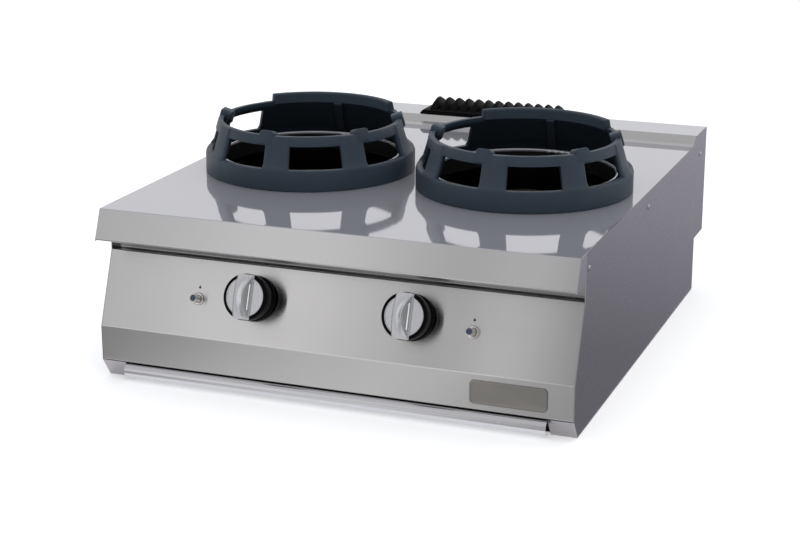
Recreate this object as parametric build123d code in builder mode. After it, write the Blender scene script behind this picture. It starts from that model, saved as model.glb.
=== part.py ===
from build123d import *
import os
from math import atan2, cos, degrees, hypot, radians, sin, tan

# Two-burner counter-top wok range in folded stainless sheet, with cast-iron wok rings.
# Millimetres. X runs to the cook's right, Y to the back and Z up. The origin is the middle
# of the footprint, on the surface that the range stands on.

# --- Overall size and sheet ---------------------------------------------------------------
width = 800.0
depth = 900.0
worktop_height = 285.0
upstand_rise = 15.0
sheet = 1.5
thin_sheet = 1.2
bend_radius = 1.2
seat_gap = 0.3

half_width = width / 2
inner_half_width = half_width - sheet
front_y = -depth / 2
rear_y = depth / 2
upstand_top = worktop_height + upstand_rise
worktop_underside = worktop_height - sheet
sides = (("left", -1), ("right", 1))

# --- Front: lip, recess, sloping control panel and lower strip ----------------------------
lip_drop = 49.0
lip_reach = 20.0
lip_return = 16.0
panel_lean = 20.7
panel_rise = 118.0
strip_height = 58.5
strip_bottom = 32.0
strip_setback = 7.5
strip_return = 12.0
chamfer_run = 22.0
recess_depth = 14.0

lip_top_y = front_y + lip_reach
lip_bottom = worktop_height - lip_drop
strip_y = front_y + strip_setback
fold_z = strip_bottom + strip_height
panel_top_z = fold_z + panel_rise
panel_top_y = strip_y + panel_rise * tan(radians(panel_lean))
base_front_y = strip_y + chamfer_run

# --- Rear: upstand, cove and pipe step ----------------------------------------------------
upstand_depth = 86.5
upstand_slope = 12.5
upstand_slope_rise = 11.0
cove_run = 16.0
step_depth = 71.2
step_height = 100.0
rear_flange = 25.0

upstand_front_y = rear_y - upstand_depth
slope_foot_y = upstand_front_y - upstand_slope
cove_foot_y = slope_foot_y - cove_run
cove_top = upstand_top - upstand_slope_rise
step_y = rear_y - step_depth

# --- Side panels, base and rails ----------------------------------------------------------
side_flange = 32.0
base_flange = 36.0
corner_flange = 40.5
corner_gap = 0.5
base_turn_up = 15.0
rail_height = 26.0
rail_depth = 30.0
front_rail_distance = 120.0
rail_bowl_gap = 27.0
fixing_hole_radius = 4.5
fixing_side_distance = 20.0
fixing_end_distance = 160.0
side_screw_drop = 27.0
side_screw_front = 66.0
side_screw_middle = -9.0
side_screw_rear = 51.0
side_screw_radius = 2.0
side_screw_head_radius = 4.5
side_screw_head = 2.0
side_screw_length = 6.0
side_screw_taper = 12.0
screw_clearance = 0.15

# --- Wok rings ----------------------------------------------------------------------------
ring_gap = 25.0
ring_y = -50.0
ring_base_radius = 182.5
ring_base_height = 34.0
ring_shoulder_radius = 176.0
ring_shoulder_height = 41.0
ring_top_radius = 161.5
ring_top_height = 88.0
ring_wall = 9.0
ring_rear_height = 102.0
ring_sill_height = 35.5
ring_window_top = 72.0
ring_pillar_proud = 2.0
ring_bays = 8
ring_pillar_angle = 15.0
ring_front_bay_azimuths = {"left": 26.25, "right": 22.5}
ring_closed_bays = (3, 4)
ring_rear_start = 109.0
ring_rear_arc = 94.0
ring_tab_angles = (-109.0, -30.0, 30.0, 85.0)
ring_tab_width = 26.0
ring_tab_height = 98.0
ring_tab_depth = 20.0
ring_rib_angle = 157.5
ring_rib_arc = 5.5
ring_rib_depth = 5.0

# --- Burner collars, bowls and burners ----------------------------------------------------
collar_radius = 155.0
collar_height = 29.0
collar_bead = 2.5
collar_root = 6.0
bowl_clearance = 0.6
bowl_flange = 178.0
bowl_floor_z = 185.0
bowl_hole_radius = 29.0
burner_axis_z = 128.0
burner_riser_radius = 24.0
burner_riser_wall = 5.0
burner_foot_radius = 42.0
burner_foot_height = 5.0
burner_head_radius = 62.0
burner_head_bottom = 226.0
burner_head_top = 254.0
burner_head_wall = 5.0
burner_cap_height = 12.0
burner_cap_edge = 5.0
burner_cap_shoulder = 8.0
spigot_depth = 6.0
spigot_wall = 4.0
port_ring_inset = 9.0
inner_port_ring_inset = 24.0
burner_ports = 28
burner_port_radius = 1.6
venturi_length = 182.0
venturi_throat_radius = 15.0
venturi_mouth_radius = 24.0
venturi_wall = 4.0
venturi_flare = 30.0
injector_gap = 6.0
injector_radius = 8.0
injector_length = 22.0
injector_bore_radius = 1.5
injector_hex = 12.0
injector_hex_radius = 11.0
shield_foot_z = 40.0
shield_top_gap = 3.0
shield_flange = 15.0

# --- Pilot, thermocouple and spark electrode, on a bracket beside each burner head --------
pilot_distance = 84.0
pilot_spacing = 17.0
pilot_radius = 5.0
pilot_wall = 1.5
pilot_top = 262.0
pilot_port_radius = 2.0
pilot_port_drop = 5.0
pilot_hole_gap = 1.0
probe_radius = 3.0
probe_edge = 1.8
probe_top = 266.0
electrode_radius = 4.0
electrode_tip_radius = 1.2
electrode_tip_length = 18.0
electrode_top = 268.0
pilot_foot_z = 168.0
bracket_half_length = 30.0
bracket_width = 16.0
bracket_height = 34.0
pilot_tube_radius = 3.0
pilot_tube_wall = 0.8
pilot_tube_z = 156.0
spark_lead_radius = 2.0
spark_lead_z = 149.0
lead_bend = 8.0
lead_run = 40.0
lead_straight = 16.0

# --- Gas side: valves, manifold, feeds and inlet ------------------------------------------
knob_x = 133.0
knob_up_panel = 73.0
stem_radius = 4.0
stem_flat = 2.8
stem_back = 32.0
stem_front = 34.0
stem_hole_gap = 2.5
stem_bore_gap = 0.5
travel_spare = 2.0
plug_radius = 10.0
plug_back = 50.0
plug_front = 16.0
running_gap = 0.05
valve_radius = 15.0
valve_back = 58.0
valve_flange_radius = 19.0
valve_flange = 4.0
valve_boss_radius = 8.0
pilot_boss_radius = 5.0
pilot_boss_reach = 18.0
pilot_boss_back = 30.0
saddle_half_length = 60.0
manifold_radius = 10.65
manifold_wall = 2.6
manifold_back = 43.0
manifold_drop = 29.0
manifold_left = -240.0
manifold_stop = 50.0
inlet_side_distance = 50.0
inlet_z = 52.0
inlet_radius = 10.475
inlet_thread_length = 16.0
inlet_bore_radius = 7.5
inlet_nut_radius = 16.0
inlet_nut = 9.0
inlet_hole_gap = 1.0
supply_rear_gap = 48.8
supply_bend = 28.0
feed_radius = 6.0
feed_wall = 1.0
feed_bend = 16.0
feed_head = 24.0
feed_tail = 26.0
shield_hole_gap = 1.0

# --- Knobs --------------------------------------------------------------------------------
knob_travel = 4.0
knob_gap = 1.2
knob_radius = 36.8
knob_waist_radius = 34.5
knob_skirt = 6.0
knob_waist_end = 19.0
knob_front = 43.0
knob_wall = 3.0
knob_hub_radius = 9.5
knob_edge = 1.4
insert_radius = 33.2
insert_recess = 4.0
insert_thickness = 3.2
grip_length = 72.0
grip_top_length = 68.0
grip_foot_length = 64.4
grip_base_width = 25.0
grip_top_width = 12.0
grip_height = 10.5
groove_length = 46.0
groove_width = 2.4
groove_depth = 1.0

# --- Igniters -----------------------------------------------------------------------------
igniter_x = 232.0
igniter_up_panel = 62.0
igniter_collar_radius = 10.0
igniter_collar = 4.0
igniter_neck_radius = 8.0
igniter_body_radius = 12.0
igniter_body_length = 28.0
igniter_travel = 5.0
igniter_collar_edge = 1.0
igniter_neck_gap = 0.1
button_radius = 6.2
button_gap = 0.3
button_front = 21.0
button_back = 8.0
button_dish_radius = 4.2
button_dish = 3.0
button_edge = 0.6

# --- Badge plate, bare --------------------------------------------------------------------
badge_side_distance = 104.0
badge_width = 124.0
badge_height = 38.0
badge_z = 61.5
badge_thickness = 1.2
badge_border = 3.0
badge_border_rise = 0.9
badge_corner = 7.0

# --- Drip tray and its runners ------------------------------------------------------------
runner_side_distance = 49.3
runner_height = 27.0
runner_ledge = 6.0
tray_side_gap = 0.6
tray_depth = 24.0
tray_length = 640.0
tray_nose_radius = 12.5
tray_nose_gap = 2.0
runner_front_gap = 15.0

# --- Flue ---------------------------------------------------------------------------------
flue_half_width = 132.0
flue_margin = 7.0
duct_wall = 1.0
duct_bottom = 130.0
grille_half_width = 145.0
grille_depth = 82.0
grille_base = 8.0
grille_tooth_rise = 19.0
grille_tooth_pitch = 20.0
grille_tooth_width = 16.0
grille_tooth_top = 5.0
grille_tooth_margin = 5.0
grille_tooth_crest = 14.0
grille_slot_margin = 8.0
grille_teeth = 13
grille_bevel = 5.0

# Heights and places that follow from the sizes above.
front_rail_y = front_y + front_rail_distance
ring_x = max(ring_base_radius, bowl_flange) + ring_gap / 2
rear_rail_y = ring_y + bowl_flange + rail_bowl_gap + rail_depth / 2
fixing_half_spacing_x = half_width - fixing_side_distance
fixing_half_spacing_y = depth / 2 - fixing_end_distance
side_screw_ys = (front_y + side_screw_front, side_screw_middle, rear_y - side_screw_rear)
inlet_x = half_width - inlet_side_distance
manifold_right = inlet_x - manifold_stop
supply_rear_y = step_y - supply_rear_gap
badge_x = half_width - badge_side_distance
tray_nose_half_width = inner_half_width - corner_flange - corner_gap
runner_half_span = half_width - runner_side_distance
base_pan_bottom = sheet
base_pan_top = base_pan_bottom + sheet
runner_ledge_top = base_pan_top + thin_sheet
tray_floor = runner_ledge_top + seat_gap
tray_nose_top = strip_bottom - tray_nose_gap
tray_nose_z = tray_nose_top - tray_nose_radius
tray_nose_y = strip_y + tray_nose_radius - strip_setback + seat_gap
tray_half_width = runner_half_span - thin_sheet - tray_side_gap
bowl_top_radius = collar_radius - sheet - bowl_clearance
venturi_front_y = ring_y - venturi_length
shield_y = venturi_front_y - injector_gap - injector_length
bracket_floor = bowl_floor_z + thin_sheet
flange_bottom = worktop_height - side_flange
shield_top_z = flange_bottom - shield_top_gap
bend_room = bend_radius + seat_gap

os.makedirs("parts", exist_ok=True)


def write(piece, name):
    """Label a finished piece and write it to its own STEP file."""
    piece.label = name
    export_step(piece, f"parts/{name}.step")


def panel_plane(x, up, out=0.0):
    """Plane on the control panel's outer face: its X is the range's X, its Z points outwards."""
    slope = radians(panel_lean)
    return Plane(
        origin=(
            x,
            strip_y + up * sin(slope) - out * cos(slope),
            fold_z + up * cos(slope) + out * sin(slope),
        ),
        x_dir=(1, 0, 0),
        z_dir=(0, -cos(slope), sin(slope)),
    )


def folded_sheet(bends, gauge):
    """Section of a folded sheet whose face runs through the bends, with its metal on their left."""
    headings = [atan2(b[1] - a[1], b[0] - a[0]) for a, b in zip(bends, bends[1:])]
    far = [(bends[0][0] - gauge * sin(headings[0]), bends[0][1] + gauge * cos(headings[0]))]
    near_radii, far_radii = [], []
    for bend, before, after in zip(bends[1:-1], headings, headings[1:]):
        middle, half_turn = (before + after) / 2, (after - before) / 2
        reach = gauge / cos(half_turn)
        far.append((bend[0] - reach * sin(middle), bend[1] + reach * cos(middle)))
        left_turn = half_turn > 0
        near_radii.append(bend_radius + gauge if left_turn else bend_radius)
        far_radii.append(bend_radius if left_turn else bend_radius + gauge)
    end = bends[-1]
    far.append((end[0] - gauge * sin(headings[-1]), end[1] + gauge * cos(headings[-1])))
    with BuildSketch() as section:
        with BuildLine():
            near_face = FilletPolyline(*bends, radius=near_radii)
            far_face = FilletPolyline(*far, radius=far_radii)
            Line(near_face @ 0, far_face @ 0)
            Line(near_face @ 1, far_face @ 1)
        make_face()
    return section.sketch


def turned(centre, outline, start=0.0, arc=360.0):
    """Solid turned about a vertical axis from an outline in radius and height."""
    heading = radians(start)
    swing = Plane(
        origin=(centre[0], centre[1], 0),
        x_dir=(cos(heading), sin(heading), 0),
        z_dir=(sin(heading), -cos(heading), 0),
    )
    with BuildPart() as solid:
        with BuildSketch(swing):
            with BuildLine():
                Polyline(*outline, close=True)
            make_face()
        revolve(axis=Axis((centre[0], centre[1], 0), (0, 0, 1)), revolution_arc=arc)
    return solid.part


def pipe(route, bends, radius, bore):
    """Pipe swept along straight runs joined by tangent arcs."""
    with BuildPart() as tube:
        with BuildLine() as path:
            FilletPolyline(*route, radius=bends)
        with BuildSketch(Plane(path.line @ 0, z_dir=path.line % 0)):
            Circle(radius)
            if bore:
                Circle(bore, mode=Mode.SUBTRACT)
        sweep()
    return tube.part


def panel_point(x, up, out):
    """Point in the range's frame, from its place along, up and out from the control panel."""
    return tuple(panel_plane(x, up, out).origin)


def knob_plane(sign, out):
    """Plane across a knob's axis, a distance out from the panel's face."""
    return panel_plane(sign * knob_x, knob_up_panel, out)


def igniter_plane(sign, out):
    """Plane across an igniter's axis, a distance out from the panel's face."""
    return panel_plane(sign * igniter_x, igniter_up_panel, out)


def front_rim(piece, plane):
    """Outer edge of the foremost face of a piece, along the plane's normal."""
    return piece.faces().sort_by(Axis(plane.origin, plane.z_dir))[-1].outer_wire().edges()


# --- Worktop: one pressed sheet with lip, raised burner collars, upstand and flue opening ---
lip_inner_y = front_y + lip_return
worktop_bends = (
    (lip_inner_y, lip_bottom),
    (front_y, lip_bottom),
    (lip_top_y, worktop_height),
    (cove_foot_y, worktop_height),
    (slope_foot_y, cove_top),
    (upstand_front_y, upstand_top),
    (rear_y, upstand_top),
    (rear_y, upstand_top - rear_flange),
)
flue_front_y = upstand_front_y + flue_margin
flue_rear_y = rear_y - flue_margin
flue_middle_y = (flue_front_y + flue_rear_y) / 2
burner_centres = [(sign * ring_x, ring_y) for _, sign in sides]
collar_bead_z = worktop_height + collar_height - collar_bead
side_screw_z = worktop_height - side_screw_drop
side_screw_places = [(y, side_screw_z) for y in side_screw_ys]

with BuildPart() as worktop:
    with BuildSketch(Plane.YZ.offset(-inner_half_width)):
        add(folded_sheet(tuple(reversed(worktop_bends)), sheet))
    extrude(amount=2 * inner_half_width)
    with BuildSketch(Plane.XY.offset(worktop_height)):
        with Locations(*burner_centres):
            Circle(collar_radius)
    extrude(amount=-2 * sheet, mode=Mode.SUBTRACT)
    for centre in burner_centres:
        add(
            turned(
                centre,
                (
                    (collar_radius - sheet, worktop_underside),
                    (collar_radius + collar_root, worktop_underside),
                    (collar_radius + collar_root, worktop_height),
                    (collar_radius + sheet, worktop_height + sheet),
                    (collar_radius, worktop_height + collar_root),
                    (collar_radius, collar_bead_z),
                    (collar_radius - sheet, collar_bead_z),
                ),
            )
        )
        with BuildSketch(Plane.XZ.offset(-centre[1])):
            with Locations((centre[0] + collar_radius, collar_bead_z)):
                Circle(collar_bead)
        revolve(axis=Axis((centre[0], centre[1], 0), (0, 0, 1)))
    with BuildSketch(Plane.XY.offset(upstand_top)):
        with Locations((0, flue_middle_y)):
            Rectangle(2 * flue_half_width, flue_rear_y - flue_front_y)
    extrude(amount=-2 * sheet, mode=Mode.SUBTRACT)
    for _, sign in sides:
        # Side flange, turned down inside the side panel.
        with BuildSketch(Plane.YZ.offset(sign * inner_half_width)):
            with BuildLine():
                Polyline(
                    (panel_top_y - sheet, worktop_underside),
                    (panel_top_y - sheet, flange_bottom),
                    (rear_y - sheet, flange_bottom),
                    (rear_y - sheet, worktop_underside),
                    close=True,
                )
            make_face()
            with Locations(*side_screw_places):
                Circle(side_screw_radius + screw_clearance, mode=Mode.SUBTRACT)
        extrude(amount=-sign * sheet)
        # Closed end of the lip, flush with the side panel's face.
        with BuildSketch(Plane.YZ.offset(sign * half_width)):
            with BuildLine():
                Polyline(
                    (front_y, lip_bottom),
                    (lip_top_y, worktop_height),
                    (panel_top_y, worktop_height),
                    (panel_top_y, lip_bottom),
                    close=True,
                )
            make_face()
        extrude(amount=-sign * sheet)
write(worktop.part, "worktop")

# --- Side panels --------------------------------------------------------------------------
side_outline = (
    (panel_top_y, worktop_height),
    (panel_top_y, panel_top_z),
    (strip_y, fold_z),
    (strip_y, strip_bottom),
    (base_front_y, 0),
    (step_y, 0),
    (step_y, step_height),
    (rear_y, step_height),
    (rear_y, upstand_top),
    (upstand_front_y, upstand_top),
    (slope_foot_y, cove_top),
    (cove_foot_y, worktop_height),
)
chamfer_slope = hypot(chamfer_run, strip_bottom)
fixing_ys = (-fixing_half_spacing_y, fixing_half_spacing_y)

for side, sign in sides:
    with BuildPart() as side_panel:
        with BuildSketch(Plane.YZ.offset(sign * inner_half_width)):
            with BuildLine():
                Polyline(*side_outline, close=True)
            make_face()
            with Locations(*side_screw_places):
                Circle(side_screw_radius + screw_clearance, mode=Mode.SUBTRACT)
        extrude(amount=sign * sheet)
        # Bottom flange that the range stands on.
        with BuildSketch(Plane.XY):
            with Locations((sign * (inner_half_width - base_flange / 2), (base_front_y + step_y) / 2)):
                Rectangle(base_flange, step_y - base_front_y)
            with Locations(*[(sign * fixing_half_spacing_x, y) for y in fixing_ys]):
                Circle(fixing_hole_radius, mode=Mode.SUBTRACT)
        extrude(amount=sheet)
        # Corner flange along the chamfer, beside the drip tray.
        with BuildSketch(Plane.YZ.offset(sign * inner_half_width)):
            with BuildLine():
                Polyline(
                    (strip_y, strip_bottom),
                    (base_front_y, 0),
                    (base_front_y + sheet * chamfer_slope / strip_bottom, 0),
                    (strip_y + sheet * chamfer_slope / strip_bottom, strip_bottom),
                    close=True,
                )
            make_face()
        extrude(amount=-sign * corner_flange)
    write(side_panel.part, f"side_panel_{side}")

# --- Control panel ------------------------------------------------------------------------
recess_y = panel_top_y + recess_depth
panel_bends = (
    (strip_y + strip_return, strip_bottom),
    (strip_y, strip_bottom),
    (strip_y, fold_z),
    (panel_top_y, panel_top_z),
    (recess_y, panel_top_z),
    (recess_y, worktop_underside),
)
corner_notch = corner_flange + 2 * corner_gap
corner_notch_y = strip_y + strip_return / 2 + sheet + bend_room
with BuildPart() as control_panel:
    with BuildSketch(Plane.YZ.offset(-inner_half_width)):
        add(folded_sheet(tuple(reversed(panel_bends)), sheet))
    extrude(amount=2 * inner_half_width)
    for _, sign in sides:
        # The turned-in foot stops short of the side panels' corner flanges.
        with BuildSketch(Plane.XY.offset(strip_bottom - sheet)):
            with Locations((sign * (inner_half_width - corner_notch / 2), corner_notch_y)):
                Rectangle(corner_notch, strip_return)
        extrude(amount=2 * sheet, mode=Mode.SUBTRACT)
        # The upright stops short of the worktop's side flanges.
        with BuildSketch(Plane.XY.offset(flange_bottom - seat_gap)):
            with Locations((sign * inner_half_width, recess_y)):
                Rectangle(2 * side_screw_length, 4 * sheet)
        extrude(amount=side_flange, mode=Mode.SUBTRACT)
        with BuildSketch(knob_plane(sign, 0)):
            Circle(stem_radius + stem_hole_gap)
        extrude(amount=2 * sheet, both=True, mode=Mode.SUBTRACT)
        with BuildSketch(igniter_plane(sign, 0)):
            Circle(igniter_neck_radius)
        extrude(amount=2 * sheet, both=True, mode=Mode.SUBTRACT)
write(control_panel.part, "control_panel")

# --- Badge plate --------------------------------------------------------------------------
with BuildPart() as badge_plate:
    with BuildSketch(Plane.XZ.offset(-strip_y)):
        with Locations((badge_x, badge_z)):
            RectangleRounded(badge_width, badge_height, badge_corner)
    extrude(amount=badge_thickness)
    with BuildSketch(Plane.XZ.offset(-strip_y + badge_thickness)):
        with Locations((badge_x, badge_z)):
            RectangleRounded(badge_width, badge_height, badge_corner)
            RectangleRounded(
                badge_width - 2 * badge_border,
                badge_height - 2 * badge_border,
                badge_corner - badge_border,
                mode=Mode.SUBTRACT,
            )
    extrude(amount=badge_border_rise)
write(badge_plate.part, "badge_plate")

# --- Back panel, stepped in for the gas pipe ----------------------------------------------
back_top = upstand_top - sheet - bend_room
with BuildPart() as back_panel:
    with BuildSketch(Plane.YZ.offset(-inner_half_width)):
        add(
            folded_sheet(
                (
                    (rear_y - sheet, back_top),
                    (rear_y - sheet, step_height),
                    (step_y, step_height),
                    (step_y, sheet),
                )[::-1],
                sheet,
            )
        )
    extrude(amount=2 * inner_half_width)
    for _, sign in sides:
        with BuildSketch(Plane.XY.offset(flange_bottom - seat_gap)):
            with Locations((sign * inner_half_width, rear_y - 2 * sheet)):
                Rectangle(4 * sheet, 4 * sheet)
        extrude(amount=side_flange + upstand_rise, mode=Mode.SUBTRACT)
    with BuildSketch(Plane.XZ.offset(-step_y)):
        with Locations((inlet_x, inlet_z)):
            Circle(inlet_radius + inlet_hole_gap)
    extrude(amount=2 * sheet, both=True, mode=Mode.SUBTRACT)
write(back_panel.part, "back_panel")

# --- Base pan -----------------------------------------------------------------------------
base_pan_front = base_front_y + 2 * sheet
base_pan_rear = step_y - sheet
with BuildPart() as base_pan:
    with BuildSketch(Plane.YZ.offset(-inner_half_width)):
        add(
            folded_sheet(
                (
                    (base_pan_front, base_pan_bottom),
                    (base_pan_rear, base_pan_bottom),
                    (base_pan_rear, base_pan_bottom + base_turn_up),
                ),
                sheet,
            )
        )
    extrude(amount=2 * inner_half_width)
    with BuildSketch(Plane.XY):
        with Locations(*[(s * fixing_half_spacing_x, y) for _, s in sides for y in fixing_ys]):
            Circle(fixing_hole_radius)
    extrude(amount=4 * sheet, mode=Mode.SUBTRACT)
write(base_pan.part, "base_pan")

# --- Cross rails under the worktop --------------------------------------------------------
rail_half_length = inner_half_width - sheet
for name, rail_y in (("front_rail", front_rail_y), ("rear_rail", rear_rail_y)):
    with BuildPart() as rail:
        with BuildSketch(Plane.YZ.offset(-rail_half_length)):
            add(
                folded_sheet(
                    (
                        (rail_y - rail_depth / 2, worktop_underside - rail_height),
                        (rail_y - rail_depth / 2, worktop_underside),
                        (rail_y + rail_depth / 2, worktop_underside),
                        (rail_y + rail_depth / 2, worktop_underside - rail_height),
                    )[::-1],
                    sheet,
                )
            )
        extrude(amount=2 * rail_half_length)
    write(rail.part, name)

# --- Side screws: one node, six solids ----------------------------------------------------
with BuildPart() as side_screws:
    for _, sign in sides:
        face = Plane.YZ.offset(sign * half_width)
        with BuildSketch(face):
            with Locations(*side_screw_places):
                Circle(side_screw_head_radius)
        extrude(amount=sign * side_screw_head, taper=side_screw_taper)
        with BuildSketch(face):
            with Locations(*side_screw_places):
                Circle(side_screw_radius)
        extrude(amount=-sign * side_screw_length)
write(side_screws.part, "side_screws")

# --- Wok rings ----------------------------------------------------------------------------
ring_slope = (ring_shoulder_radius - ring_top_radius) / (ring_top_height - ring_shoulder_height)


def ring_radius(height, inset=0.0):
    """Radius of the ring's tapering wall at a height above the worktop, less an inset."""
    return ring_shoulder_radius - ring_slope * (height - ring_shoulder_height) - inset


def ring_wall_band(low, high, inset, wall):
    """Outline of the tapering wall between two heights."""
    return (
        (ring_radius(low, inset + wall), low),
        (ring_radius(low, inset), low),
        (ring_radius(high, inset), high),
        (ring_radius(high, inset + wall), high),
    )


def on_worktop(outline):
    """An outline in radius and height above the worktop, lifted on to it."""
    return [(radius, worktop_height + seat_gap + height) for radius, height in outline]


ring_foot = (
    (ring_base_radius - ring_wall, 0),
    (ring_base_radius, 0),
    (ring_base_radius, ring_base_height),
    (ring_shoulder_radius, ring_shoulder_height),
    (ring_radius(ring_shoulder_height, ring_wall), ring_shoulder_height),
    (ring_base_radius - ring_wall, ring_sill_height - ring_wall),
)
ring_window = (
    (ring_radius(ring_top_height, 2 * ring_wall), ring_sill_height),
    (ring_base_radius, ring_sill_height),
    (ring_base_radius, ring_window_top),
    (ring_radius(ring_top_height, 2 * ring_wall), ring_window_top),
)
bay_angle = 360 / ring_bays
window_angle = bay_angle - ring_pillar_angle
for side, sign in sides:
    centre = (sign * ring_x, ring_y)
    turn = ring_front_bay_azimuths[side] - 90
    with BuildPart() as wok_ring:
        add(turned(centre, on_worktop(ring_foot)))
        for bay in range(ring_bays):
            bay_start = turn + bay * bay_angle - window_angle / 2
            low = ring_shoulder_height if bay in ring_closed_bays else ring_window_top
            web = ring_wall_band(low, ring_top_height, ring_pillar_proud, ring_wall)
            add(turned(centre, on_worktop(web), bay_start, window_angle))
            if bay not in ring_closed_bays:
                opening = turned(centre, on_worktop(ring_window), bay_start, window_angle)
                add(opening, mode=Mode.SUBTRACT)
            post = ring_wall_band(ring_shoulder_height, ring_top_height, 0, ring_wall + ring_pillar_proud)
            add(turned(centre, on_worktop(post), bay_start + window_angle, ring_pillar_angle))
        rim = ring_wall_band(ring_top_height, ring_rear_height, 0, ring_wall + ring_pillar_proud)
        add(turned(centre, on_worktop(rim), turn + ring_rear_start, ring_rear_arc))
        rib = ring_wall_band(
            ring_shoulder_height, ring_top_height, ring_wall + ring_pillar_proud, ring_rib_depth
        )
        add(turned(centre, on_worktop(rib), turn + ring_rib_angle - ring_rib_arc / 2, ring_rib_arc))
        for tab_angle in ring_tab_angles:
            tab_arc = degrees(ring_tab_width / ring_top_radius)
            tab = ring_wall_band(ring_window_top, ring_tab_height, 0, ring_tab_depth)
            add(turned(centre, on_worktop(tab), turn + tab_angle - tab_arc / 2, tab_arc))
    write(wok_ring.part, f"wok_ring_{side}")

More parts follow.
